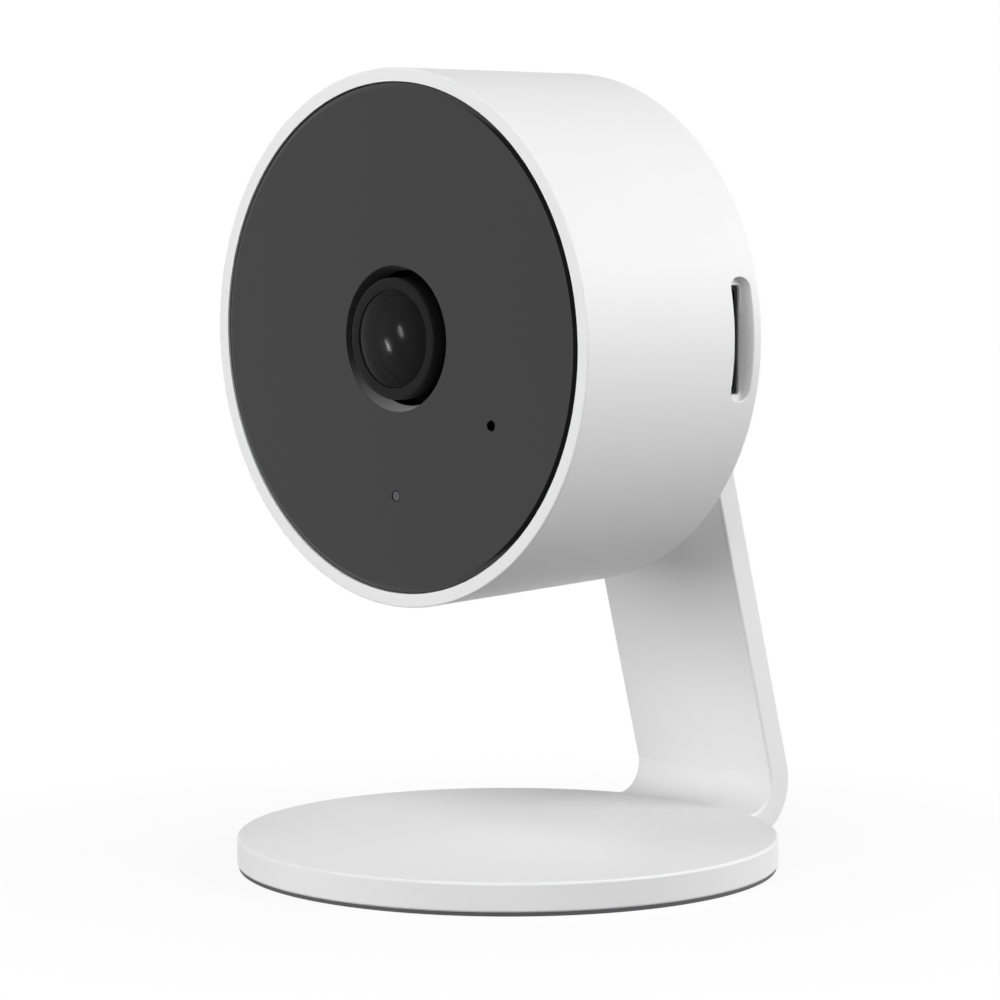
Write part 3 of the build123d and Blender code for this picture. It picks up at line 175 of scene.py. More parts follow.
def rounded(corners, steps=8):
    """A closed profile from corners (u, v, radius): each corner gives way to an arc that touches both of
    its sides. The arc's centre lies on the corner's bisector, radius / sin(half angle) away. A share k
    along the arc lies at (sin((1 - k) turn) start + sin(k turn) end) / sin(turn) from that centre."""
    corners = np.array(corners, float)
    points = []
    for i, (u, v, radius) in enumerate(corners):
        here = np.array((u, v))
        if radius <= 0:
            points.append(here[None])
            continue
        before = corners[i - 1, :2] - here
        after = corners[(i + 1) % len(corners), :2] - here
        before = before / np.linalg.norm(before)
        after = after / np.linalg.norm(after)
        half = np.arccos(np.clip(before @ after, -1, 1)) / 2
        middle = before + after
        centre = here + middle / np.linalg.norm(middle) * radius / sin(half)
        start = (here + before * radius / tan(half) - centre) / radius
        end = (here + after * radius / tan(half) - centre) / radius
        turn = np.pi - 2 * half
        k = np.linspace(0, 1, steps + 1)[:, None]
        swing = np.sin((1 - k) * turn) * start + np.sin(k * turn) * end
        points.append(centre + radius * swing / sin(turn))
    return np.concatenate(points)


def arc(centre, radius, start, end, steps):
    """Points (radius from the axis, depth) on a circle in the profile's plane, from one turn to another:
    radius sin(turn) from the axis, at centre + radius cos(turn)."""
    turn = np.linspace(start, end, steps + 1)
    return np.stack([radius * np.sin(turn), centre + radius * np.cos(turn)], -1)


def grid_faces(rows, columns, wrap_rows=False, wrap_columns=False):
    """Quads between neighbouring points of a grid of points, closed round where it wraps."""
    index = np.arange(rows * columns).reshape(rows, columns)
    if wrap_rows:
        index = np.concatenate([index, index[:1]])
    if wrap_columns:
        index = np.concatenate([index, index[:, :1]], 1)
    return np.stack([index[:-1, :-1], index[1:, :-1], index[1:, 1:], index[:-1, 1:]], -1).reshape(-1, 4)


def turned(profile, turns):
    """A profile of (radius, depth) turned about the head's axis: x = radius cos(around), y = depth behind
    the front rim, z = radius sin(around). A profile that starts and ends on the axis isn't joined back to
    its start."""
    around = np.linspace(0, 2 * np.pi, turns, endpoint=False)[:, None]
    radius, depth = profile[:, 0], profile[:, 1]
    points = np.stack(np.broadcast_arrays(
        radius * np.cos(around), HEAD_FRONT_Y + depth, HEAD_AXIS_Z + radius * np.sin(around)), -1)
    return points.reshape(-1, 3), grid_faces(turns, len(profile), True, radius[0] + radius[-1] > ON_AXIS)


def turned_upright(profile, turns):
    """A profile of (radius, height) turned about the stand's upright axis: x = radius cos(around),
    y = radius sin(around), z = height."""
    around = np.linspace(0, 2 * np.pi, turns, endpoint=False)[:, None]
    radius, height = profile[:, 0], profile[:, 1]
    points = np.stack(np.broadcast_arrays(radius * np.cos(around), radius * np.sin(around), height), -1)
    return points.reshape(-1, 3), grid_faces(turns, len(profile), True, radius[0] + radius[-1] > ON_AXIS)


def filled(outline, gap):
    """The same closed outline with points added evenly along each run that is longer than a gap."""
    after = np.roll(outline, -1, 0)
    counts = np.ceil(np.linalg.norm(after - outline, axis=1) / gap).astype(int)
    runs = zip(outline, after, counts)
    return np.concatenate([a + (b - a) * np.arange(n)[:, None] / n for a, b, n in runs])


def outline_stack(outline, grows, levels, place):
    """A closed shape: one flat outline repeated at several levels, grown or shrunk along its own normals,
    with both ends closed. The normal of a point is its outline's tangent turned by a right angle."""
    tangent = np.roll(outline, -1, 0) - np.roll(outline, 1, 0)
    normal = np.stack([tangent[:, 1], -tangent[:, 0]], -1)
    normal = normal / np.linalg.norm(normal, axis=1)[:, None]
    rings = outline[None] + np.asarray(grows)[:, None, None] * normal[None]
    points = place(rings[..., 0], rings[..., 1], np.asarray(levels)).reshape(-1, 3)
    rows, columns = rings.shape[:2]
    ends = [np.arange(columns), np.arange(columns) + (rows - 1) * columns]
    return points, [*grid_faces(rows, columns, False, True).tolist(), *[end.tolist() for end in ends]]


def rounded_rectangle(wide, tall, corner, steps=8):
    """Outline of a rectangle with round corners about its own centre, counter-clockwise."""
    u, v = wide / 2, tall / 2
    return rounded([(u, -v, corner), (u, v, corner), (-u, v, corner), (-u, -v, corner)], steps)


def circle(radius, centre, steps):
    """Outline of a circle about a point, counter-clockwise."""
    around = np.linspace(0, 2 * np.pi, steps, endpoint=False)
    return radius * np.stack([np.cos(around), np.sin(around)], -1) + np.asarray(centre)


def across_axis(u, v, level):
    """Places outlines across the head's axis: x = u, z = v above the axis, y = level behind the front."""
    y = np.broadcast_to((HEAD_FRONT_Y + level)[:, None], u.shape)
    return np.stack([u, y, HEAD_AXIS_Z + v], -1)


def joined(*surfaces):
    """Several (points, faces) surfaces as one."""
    points, faces, start = [], [], 0
    for some_points, some_faces in surfaces:
        points.append(some_points)
        faces += [[start + i for i in face] for face in np.asarray(some_faces, dtype=object).tolist()]
        start += len(some_points)
    return np.concatenate(points), faces


def mesh_object(name, points, faces):
    """A mesh object with doubles merged, so that seams and poles close, and its faces turned outwards."""
    double, sliver = 0.0005 * MM, 0.0002 * MM
    mesh = bpy.data.meshes.new(name)
    mesh.from_pydata(points.tolist(), [], [list(face) for face in faces])
    work = bmesh.new()
    work.from_mesh(mesh)
    bmesh.ops.remove_doubles(work, verts=work.verts, dist=double)
    bmesh.ops.dissolve_degenerate(work, edges=work.edges, dist=sliver)
    bmesh.ops.recalc_face_normals(work, faces=work.faces)
    work.to_mesh(mesh)
    work.free()
    piece = bpy.data.objects.new(name, mesh)
    bpy.context.scene.collection.objects.link(piece)
    return piece


def combine(piece, other, operation):
    """Adds a closed shape to a piece, or cuts it away, and keeps the result as the piece's own mesh."""
    step = piece.modifiers.new("combine", "BOOLEAN")
    step.operation = operation
    step.solver = "EXACT"
    step.object = other
    done = bpy.data.meshes.new_from_object(piece.evaluated_get(bpy.context.evaluated_depsgraph_get()))
    piece.modifiers.clear()
    old = piece.data
    piece.data = done
    done.name = piece.name
    bpy.data.meshes.remove(old)
    bpy.data.meshes.remove(other.data)


def finish_piece(piece, material, body, slot, *nodes):
    """Shades a piece smooth, with sharp edges and true flats kept, then gives it its finish and body and
    hides the solids that it stands for. Its slot is not used."""
    sharp, flat_weight = radians(32), 80
    mesh = piece.data
    mesh.materials.clear()
    mesh.materials.append(material)
    mesh.polygons.foreach_set("use_smooth", np.ones(len(mesh.polygons), bool))
    mesh.polygons.foreach_set("material_index", np.zeros(len(mesh.polygons), np.int32))
    mesh.set_sharp_from_angle(angle=sharp)
    flats = piece.modifiers.new("true flats", "WEIGHTED_NORMAL")
    flats.keep_sharp = True
    flats.weight = flat_weight
    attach(piece, body)
    if nodes:
        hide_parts(*nodes)
    return piece


# Materials


def add_node(tree, kind, inputs=None, **settings):
    """Adds a node, sets its properties, and fills its inputs with values or links."""
    node = tree.nodes.new(kind)
    for name, value in settings.items():
        setattr(node, name, value)
    for name, value in (inputs or {}).items():
        if isinstance(value, bpy.types.NodeSocket):
            tree.links.new(value, node.inputs[name])
        else:
            node.inputs[name].default_value = value
    return node


def new_material(name):
    """An empty node material and its node tree."""
    material = bpy.data.materials.new(name)
    material.use_nodes = True
    material.node_tree.nodes.clear()
    return material, material.node_tree


def grained(name, base, roughness, grain_mm, bump, spread=0.06, shade=0.03, **shader):
    """A moulded or cast finish: a fine grain of a real size stirs its roughness, shade and bump."""
    material, tree = new_material(name)
    place = add_node(tree, "ShaderNodeTexCoord").outputs["Object"]
    grain = add_node(tree, "ShaderNodeTexNoise", {
        "Vector": place, "Scale": 1 / (grain_mm * MM), "Detail": 3.0, "Roughness": 0.55}).outputs["Fac"]
    rough = add_node(tree, "ShaderNodeMapRange", {
        "Value": grain, "From Min": 0.3, "From Max": 0.7, "To Min": roughness - spread,
        "To Max": roughness + spread})
    dark = tuple(c * (1 - shade) for c in base)
    tone = add_node(tree, "ShaderNodeMix", {0: grain, 6: (*dark, 1), 7: (*base, 1)}, data_type="RGBA")
    relief = add_node(tree, "ShaderNodeBump", {
        "Height": grain, "Strength": bump, "Distance": grain_mm * MM / 10})
    surface = add_node(tree, "ShaderNodeBsdfPrincipled", {
        "Base Color": tone.outputs[2], "Roughness": rough.outputs["Result"],
        "Normal": relief.outputs["Normal"], **shader})
    add_node(tree, "ShaderNodeOutputMaterial", {"Surface": surface.outputs["BSDF"]})
    return material


def clear(name, tint, ior, roughness, ripple_mm, haze=0.0):
    """A clear moulding or glass with a very faint ripple in its surface, and a share of haze that scatters
    light."""
    material, tree = new_material(name)
    place = add_node(tree, "ShaderNodeTexCoord").outputs["Object"]
    ripple = add_node(tree, "ShaderNodeTexNoise", {
        "Vector": place, "Scale": 1 / (ripple_mm * MM), "Detail": 1.0}).outputs["Fac"]
    relief = add_node(tree, "ShaderNodeBump", {"Height": ripple, "Strength": 0.02, "Distance": 0.01 * MM})
    surface = add_node(tree, "ShaderNodeBsdfPrincipled", {
        "Base Color": (*tint, 1), "Roughness": roughness, "IOR": ior, "Transmission Weight": 1 - haze,
        "Normal": relief.outputs["Normal"]})
    add_node(tree, "ShaderNodeOutputMaterial", {"Surface": surface.outputs["BSDF"]})
    return material


def lined_metal(name, base, roughness, line_mm, axis):
    """A metal with fine lines from turning, drawing or plating, across one axis."""
    along_lines, spread = 0.05, 0.08
    material, tree = new_material(name)
    place = add_node(tree, "ShaderNodeTexCoord").outputs["Object"]
    stretch = [along_lines] * 3
    stretch["xyz".index(axis)] = 1.0
    along = add_node(tree, "ShaderNodeMapping", {"Vector": place, "Scale": stretch}).outputs["Vector"]
    lines = add_node(tree, "ShaderNodeTexNoise", {
        "Vector": along, "Scale": 1 / (line_mm * MM), "Detail": 2.0}).outputs["Fac"]
    rough = add_node(tree, "ShaderNodeMapRange", {
        "Value": lines, "To Min": roughness - spread, "To Max": roughness + spread})
    relief = add_node(tree, "ShaderNodeBump", {
        "Height": lines, "Strength": 0.15, "Distance": line_mm * MM / 8})
    surface = add_node(tree, "ShaderNodeBsdfPrincipled", {
        "Base Color": (*base, 1), "Metallic": 1.0, "Roughness": rough.outputs["Result"],
        "Normal": relief.outputs["Normal"]})
    add_node(tree, "ShaderNodeOutputMaterial", {"Surface": surface.outputs["BSDF"]})
    return material


def finishes():
    """Every finish by the name of its slot, made once and kept by its material name."""
    picks = bpy.context.scene.camera_finishes
    return {
        # ABS, moulded in a fine spark-eroded tool: satin white. The grain is drawn coarser than life, so
        # that it shows.
        "white_plastic": ("moulded_satin_white_abs", lambda n: grained(
            n, picks.housing, 0.42, 0.16, 0.10, shade=0.012, **{"Specular IOR Level": 0.2})),
        # Cast acrylic, dyed black and polished: mirror-flat with a soft edge to its reflections.
        "window": ("polished_black_acrylic", lambda n: grained(
            n, picks.window, 0.12, 0.6, 0.01, spread=0.02, IOR=1.49)),
        # The same sheet where the lens hole is cut: ground, not polished, so it takes light as a dull grey.
        "cut_acrylic": ("ground_acrylic_edge", lambda n: grained(
            n, picks.cut_edge, 0.6, 0.25, 0.1, **{"Specular IOR Level": 0.05})),
        # Polycarbonate with a light-absorbing black coat: hardly any gloss, an even dark grey in white
        # light.
        "lens_body": ("matt_black_polycarbonate", lambda n: grained(
            n, picks.lens, 0.55, 0.2, 0.12, **{"Specular IOR Level": 0.2})),
        # Smoked glass with a broad anti-reflection coat, which leaves the soft reflection of a much lower
        # index and a trace of grey haze.
        "glass": ("coated_lens_glass", lambda n: clear(n, linear("#8e8e8e"), 1.112, 0.13, 2.0, 0.03)),
        # Polished glass with a heat-cutting coat: clear, with a cyan cast.
        "filter_glass": ("infrared_filter_glass", lambda n: clear(n, linear("#b9d8d4"), 1.52, 0.02, 2.0)),
        # Cast epoxy: water-clear, with a slightly wavy skin.
        "led_clear": ("clear_epoxy", lambda n: clear(n, linear("#f4f2ee"), 1.54, 0.08, 0.5)),
        # Acrylic with a blasted end: an even grey while it is unlit.
        "light_pipe": ("frosted_light_pipe_acrylic", lambda n: grained(
            n, picks.status, 0.35, 0.15, 0.1, IOR=1.49)),
        # Silicone pad, cut from sheet: dull and even.
        "foot_rubber": ("matt_grey_silicone", lambda n: grained(n, picks.pad, 0.75, 0.25, 0.3, IOR=1.42)),
        # Silicone, moulded black: dull and even.
        "soft_rubber": ("black_silicone", lambda n: grained(
            n, linear("#1c1c1e"), 0.7, 0.25, 0.3, IOR=1.42)),
        # Steel under zinc: a grey metal with blurred reflections.
        "steel": ("zinc_plated_steel", lambda n: lined_metal(n, linear("#b9bbbd"), 0.38, 0.12, "z")),
        # Turned or pressed steel under nickel: bright and slightly warm, with fine lines.
        "bright_steel": ("nickel_plated_steel", lambda n: lined_metal(
            n, linear("#cfcdc8"), 0.24, 0.1, "y")),
        # Nylon with glass fibre, moulded: near black, with little gloss.
        "black_plastic": ("black_glass_filled_nylon", lambda n: grained(
            n, linear("#141415"), 0.5, 0.2, 0.2, **{"Specular IOR Level": 0.15})),
        # Plain nylon, moulded: milky cream.
        "nylon": ("natural_nylon", lambda n: grained(n, linear("#d8d4c8"), 0.45, 0.3, 0.15, IOR=1.53)),
        # Glass-fibre board under solder mask: glossy green, uneven over the tracks.
        "board": ("green_solder_mask", lambda n: grained(
            n, linear("#1f5a37"), 0.3, 0.9, 0.2, shade=0.25, IOR=1.5)),
        # Epoxy moulding compound: charcoal, dull and fine-grained.
        "chip": ("black_moulded_epoxy", lambda n: grained(n, linear("#202022"), 0.6, 0.15, 0.2, IOR=1.55)),
        # Foam tape: black and matt, with open cells.
        "tape": ("black_foam_tape", lambda n: grained(n, linear("#1a1a1a"), 0.85, 0.3, 0.5, IOR=1.45)),
        # Polyimide film: smooth amber.
        "flex": ("amber_polyimide_film", lambda n: grained(n, linear("#a8641c"), 0.3, 0.5, 0.05, IOR=1.6)),
        # Enamelled wire, wound: reddish metal with fine lines, like the turns of a coil.
        "copper": ("enamelled_copper_wire", lambda n: lined_metal(n, linear("#c06a3c"), 0.3, 0.2, "x")),
    }


def finish(slot):
    """The material of a slot, made the first time it is asked for."""
    name, make = finishes()[slot]
    return bpy.data.materials.get(name) or make(name)


# Lamps


def lamp_pieces(name):
    """The collection of pieces that a lamp is kept off or kept to."""
    return bpy.data.collections.get(name) or bpy.data.collections.new(name)


def light_apart(piece):
    """Screens a piece from the soft lamps and gives it to the window's own lamp."""
    lamp_pieces("window_and_lens").objects.link(piece)
    screened = lamp_pieces("screened")
    screened.objects.link(piece)
    screened.collection_objects[-1].light_linking.link_state = "EXCLUDE"


def add_lamp(name, turn, rise, distance, target, size, watts):
    """Soft lamp on a sphere about its target, turned from the front to the right and raised, in degrees."""
    data = bpy.data.lights.new(name, "AREA")
    data.shape = "RECTANGLE"
    data.size, data.size_y = size
    data.energy = watts
    lamp = bpy.data.objects.new(name, data)
    turn, rise = radians(turn), radians(rise)
    away = Vector((sin(turn) * cos(rise), -cos(turn) * cos(rise), sin(rise)))
    lamp.location = target + away * distance
    lamp.rotation_euler = away.to_track_quat("Z", "Y").to_euler()
    lamp.visible_camera = False
    bpy.context.scene.collection.objects.link(lamp)
    return lamp


# Operators, one for each piece or group of pieces


class SECCAM_OT_stage(bpy.types.Operator):
    """Floor, lights and the camera at the photograph's viewing angle"""

    bl_idname = "seccam.stage"
    bl_label = "Stage"

    def execute(self, context):
        settings = context.scene.camera_stage
        context.scene.view_settings.view_transform = "Standard"
        self.make_camera(context, settings)
        self.make_floor()
        self.make_sky(context, settings)
        middle = Vector((0, 0, 50 * MM))
        size = (settings.lamp_size, settings.lamp_size)
        for name, turn, rise, watts in (
                ("front_left_lamp", -20, 5, settings.front_left), ("front_lamp", 0, 5, settings.front),
                ("front_right_lamp", 30, 18, settings.front_right),
                ("front_high_lamp", 0, 45, settings.front_high),
                ("rear_right_lamp", 115, 25, settings.rear_right), ("rear_lamp", 155, 12, settings.rear),
                ("rear_left_lamp", -115, 3, settings.rear_left)):
            lamp = add_lamp(name, turn, rise, settings.lamp_distance, middle, size, watts)
            lamp.visible_glossy = name in ("rear_right_lamp", "rear_lamp")
            lamp.visible_transmission = False
            lamp.light_linking.receiver_collection = lamp_pieces("screened")
        small = (settings.window_lamp_size, settings.window_lamp_size)
        lamp = add_lamp("window_lamp", -25, 15, settings.lamp_distance, middle, small, settings.window)
        lamp.visible_glossy = False
        lamp.visible_transmission = False
        lamp.light_linking.receiver_collection = lamp_pieces("window_and_lens")
        self.make_flag()
        return {"FINISHED"}

    def make_camera(self, context, settings):
        """Camera on a sphere about its target, level and without shift."""
        turn, rise = settings.azimuth, settings.elevation
        right = Vector((cos(turn), sin(turn), 0))
        back = Vector((sin(turn) * cos(rise), -cos(turn) * cos(rise), sin(rise)))
        data = bpy.data.cameras.new("view_camera")
        data.lens = settings.focal_length
        data.sensor_width = 36
        data.clip_start = 0.01
        data.clip_end = 50
        camera = bpy.data.objects.new("view_camera", data)
        camera.location = Vector((0, 0, settings.target_height)) + right * settings.target_shift
        camera.location += back * settings.distance
        camera.rotation_euler = back.to_track_quat("Z", "Y").to_euler()
        context.scene.collection.objects.link(camera)
        context.scene.camera = camera

    def make_floor(self):
        """Wide disc just under the pad: seen and mirrored it is near white, with a share of its own shading
        for the contact shadow. To the light on the object it is a dark grey floor."""
        turns, drop = 96, 0.02 * MM
        near, far, near_glow = 30 * MM, 85 * MM, 0.88
        rings = np.array([0, 0.05, 0.1, 0.2, 0.5, 2, 12])
        points, _ = turned_upright(np.stack([rings, np.full(len(rings), -drop)], -1), turns)
        floor = mesh_object("floor", points, grid_faces(turns, len(rings), True, False))
        material, tree = new_material("studio_floor")
        seen = self.seen_rays(tree)
        place = add_node(tree, "ShaderNodeTexCoord").outputs["Object"]
        away = add_node(tree, "ShaderNodeVectorMath", {0: place}, operation="LENGTH").outputs["Value"]
        glow = add_node(tree, "ShaderNodeMapRange", {
            "Value": away, "From Min": near, "From Max": far, "To Min": near_glow, "To Max": 1.0})
        share = add_node(tree, "ShaderNodeMath", {0: seen, 1: glow.outputs["Result"]}, operation="MULTIPLY")
        shade = add_node(tree, "ShaderNodeMix", {
            0: seen, 6: (*linear("#4c4c4c"), 1), 7: (*linear("#f2f2f2"), 1)}, data_type="RGBA")
        plain = add_node(tree, "ShaderNodeBsdfDiffuse", {"Color": shade.outputs[2]})
        white = add_node(tree, "ShaderNodeEmission", {"Color": (1, 1, 1, 1), "Strength": 1.0})
        both = add_node(tree, "ShaderNodeMixShader", {
            0: share.outputs[0], 1: plain.outputs[0], 2: white.outputs[0]})
        add_node(tree, "ShaderNodeOutputMaterial", {"Surface": both.outputs[0]})
        floor.data.materials.append(material)

    def make_sky(self, context, settings):
        """Even studio light from all round, white where it is seen or mirrored."""
        world = bpy.data.worlds.new("studio")
        world.use_nodes = True
        tree = world.node_tree
        tree.nodes.clear()
        strength = add_node(tree, "ShaderNodeMapRange", {
            "Value": self.seen_rays(tree), "To Min": settings.sky, "To Max": 1.0})
        sky = add_node(tree, "ShaderNodeBackground", {
            "Color": (1, 1, 1, 1), "Strength": strength.outputs["Result"]})
        add_node(tree, "ShaderNodeOutputWorld", {"Surface": sky.outputs["Background"]})
        context.scene.world = world

    def make_flag(self):
        """Black screen round the camera's side of the head, which only mirrors show: it gives the window's
        bevel its black crescent and keeps the right of the lens dark. It is a patch of a sphere by turn and
        rise, in degrees. Its left edge is hollowed: the turn there is nearest - hollow times the square of
        (rise - middle) / reach, a square that stays at 1 beyond the reach."""
        radius, steps = 78 * MM, 40
        lowest, highest, right = -50, 45, 62
        nearest, hollow, middle, reach = -14, 12, -3, 28
        rise = np.linspace(lowest, highest, steps)[None, :]
        left = nearest - hollow * np.minimum(1, ((rise - middle) / reach) ** 2)
        turn = np.radians(left + np.linspace(0, 1, steps)[:, None] * (right - left))
        rise = np.radians(rise)
        away = np.stack(np.broadcast_arrays(
            np.sin(turn) * np.cos(rise), -np.cos(turn) * np.cos(rise), np.sin(rise)), -1)
        points = radius * away.reshape(-1, 3) + np.array((0, HEAD_FRONT_Y, HEAD_AXIS_Z))
        flag = mesh_object("black_flag", points, grid_faces(steps, steps))
        material, tree = new_material("black_velvet")
        cloth = add_node(tree, "ShaderNodeBsdfDiffuse", {"Color": (0, 0, 0, 1)})
        add_node(tree, "ShaderNodeOutputMaterial", {"Surface": cloth.outputs[0]})
        flag.data.materials.append(material)
        for rays in ("camera", "diffuse", "transmission", "volume_scatter", "shadow"):
            setattr(flag, f"visible_{rays}", False)

    def seen_rays(self, tree):
        """1 for rays from the camera, a mirror or glass, and 0 for the light that falls on the object."""
        path = add_node(tree, "ShaderNodeLightPath").outputs
        shown = add_node(tree, "ShaderNodeMath", {0: path["Is Camera Ray"], 1: path["Is Glossy Ray"]},
                         operation="MAXIMUM")
        return add_node(tree, "ShaderNodeMath", {0: shown.outputs[0], 1: path["Is Transmission Ray"]},
                        operation="MAXIMUM").outputs[0]


class SECCAM_OT_stand(bpy.types.Operator):
    """Disc base and bent arm in one moulding, with the boss for the ball stud"""

    bl_idname = "seccam.stand"
    bl_label = "Stand"

    def execute(self, context):
        s = context.scene.camera_stand
        radius = s.base_diameter / 2
        recess, roof = 25.1 * MM, 2.05 * MM
        boss_tip, boss_root, boss_end = 4.2 * MM, 5.93 * MM, 37.72 * MM
        cap, cap_floor, cap_end = 2.9 * MM, 37.9 * MM, 46 * MM
        disc = rounded([
            (0, roof, 0), (recess, roof, 0), (recess, s.pad_thickness, 0),
            (radius, s.pad_thickness, s.edge_round), (radius, s.base_top, s.edge_round),
            (0, s.base_top, 0)])
        stand = mesh_object("stand_moulding", *turned_upright(disc, turns=320))
        combine(stand, mesh_object("arm_strip", *self.arm(s)), "UNION")
        boss = np.array([(0, BOSS_FACE), (boss_tip, BOSS_FACE), (boss_root, boss_end), (0, boss_end)])
        combine(stand, mesh_object("stud_boss", *turned(boss, turns=96)), "UNION")
        hole = np.array([(0, cap_floor), (cap, cap_floor), (cap, cap_end), (0, cap_end)])
        combine(stand, mesh_object("cap_hole", *turned(hole, turns=96)), "DIFFERENCE")
        finish_piece(stand, finish("white_plastic"), "stand", "white_plastic", "stand_bracket")
        return {"FINISHED"}

    def arm(self, s):
        """The strip's edge profile, two rounds and a straight, is carried along its outline: up the left
        side, over the round top and down the right. A point at thickness t lies inside the outline by e(t),
        so its half width is width / 2 - corner + (corner - e) sin(turn) on the upper corners and
        width / 2 - e below. The inner face follows the foot, the bend's arc and the leaning blade, and t
        runs along its normal."""
        lean, bend, edge = s.arm_lean, s.arm_bend, s.edge_round
        foot_sink = 0.3 * MM
        centre = np.array((s.arm_setback, s.base_top + bend - s.bend_sink))
        quarter = np.linspace(0, np.pi / 2, 7)
        across, along = edge * np.sin(quarter), edge * np.cos(quarter)
        inset = np.concatenate([edge - across, edge - along])
        through = np.concatenate([edge - along, s.arm_thickness - edge + across])
        turn = np.linspace(-np.pi / 2, lean, 22)
        arc_normal = np.stack([np.cos(turn), np.sin(turn)], -1)
        foot = np.array([(s.arm_setback - 2 * bend, s.base_top - foot_sink)])
        upward = np.array((-sin(lean), cos(lean)))
        blade_start = centre + bend * arc_normal[-1]
        run = (s.arm_top - blade_start[1]) / cos(lean)
        climb = blade_start + upward * np.linspace(0.2, 0.8, 4)[:, None] * (run - s.arm_corner)
        face = np.concatenate([foot, centre + bend * arc_normal, climb])[:, None, :]
        face = np.repeat(face, len(inset), 1)
        half = np.broadcast_to(s.arm_width / 2 - inset, face.shape[:2])
        round_turn = np.linspace(np.pi / 2, 0, 25)[:, None]
        shrunk = s.arm_corner - inset
        below_top = s.arm_corner - shrunk * np.cos(round_turn)
        face = np.concatenate([face, blade_start + upward * (run - below_top)[..., None]])
        half = np.concatenate([half, s.arm_width / 2 - s.arm_corner + shrunk * np.sin(round_turn)])
        rows = len(face)
        normal = np.concatenate([np.array([(0.0, -1.0)]), arc_normal,
                                 np.repeat(arc_normal[-1:], rows - len(arc_normal) - 1, 0)])
        spot = face + normal[:, None, :] * through[None, :, None]
        left = np.concatenate([-half[..., None], spot], -1)
        right = np.concatenate([half[..., None], spot], -1)
        columns = len(inset)
        points = np.concatenate([left, right[::-1]]).reshape(-1, 3)
        band = grid_faces(2 * rows, columns)
        index = np.arange(2 * rows * columns).reshape(2 * rows, columns)
        a, b = index[:rows], index[rows:][::-1]
        faces = [band]
        for j in (0, columns - 1):
            faces.append(np.stack([a[:-1, j], a[1:, j], b[1:, j], b[:-1, j]], -1))
        faces.append(np.stack([a[0, :-1], a[0, 1:], b[0, 1:], b[0, :-1]], -1))
        return points, np.concatenate(faces).tolist()


class SECCAM_OT_foot(bpy.types.Operator):
    """Soft pad under the base, whose edge shows as a dark line"""

    bl_idname = "seccam.foot"
    bl_label = "Foot pad"

    def execute(self, context):
        s = context.scene.camera_stand
        radius = s.base_diameter / 2 - s.pad_inset
        soft = s.pad_thickness / 4
        pad = rounded([(0, 0, 0), (radius, 0, soft), (radius, s.pad_thickness, 0), (0, s.pad_thickness, 0)])
        piece = mesh_object("foot_ring", *turned_upright(pad, turns=256))
        finish_piece(piece, finish("foot_rubber"), "stand", "foot_rubber", "foot_pad")
        return {"FINISHED"}


class SECCAM_OT_joint(bpy.types.Operator):
    """Turned ball stud between the arm and the head"""

    bl_idname = "seccam.joint"
    bl_label = "Ball stud"

    def execute(self, context):
        centre, radius, neck = 24.2 * MM, 4.5 * MM, 1.7 * MM
        flange, flange_front = 3.2 * MM, BOSS_FACE - 0.8 * MM
        shank, shank_end = 2.2 * MM, 36.2 * MM
        neck_round, flange_round = 0.25 * MM, 0.15 * MM
        ball = arc(centre, radius, np.pi, np.arcsin(neck / radius), steps=40)
        stem = rounded([
            (neck, flange_front, neck_round), (flange, flange_front, flange_round), (flange, BOSS_FACE, 0),
            (shank, BOSS_FACE, 0), (shank, shank_end, 0), (0, shank_end, 0)])
        piece = mesh_object("ball_pin", *turned(np.concatenate([ball, stem]), turns=128))
        finish_piece(piece, finish("bright_steel"), "stand", "bright_steel", "ball_stud")
        return {"FINISHED"}


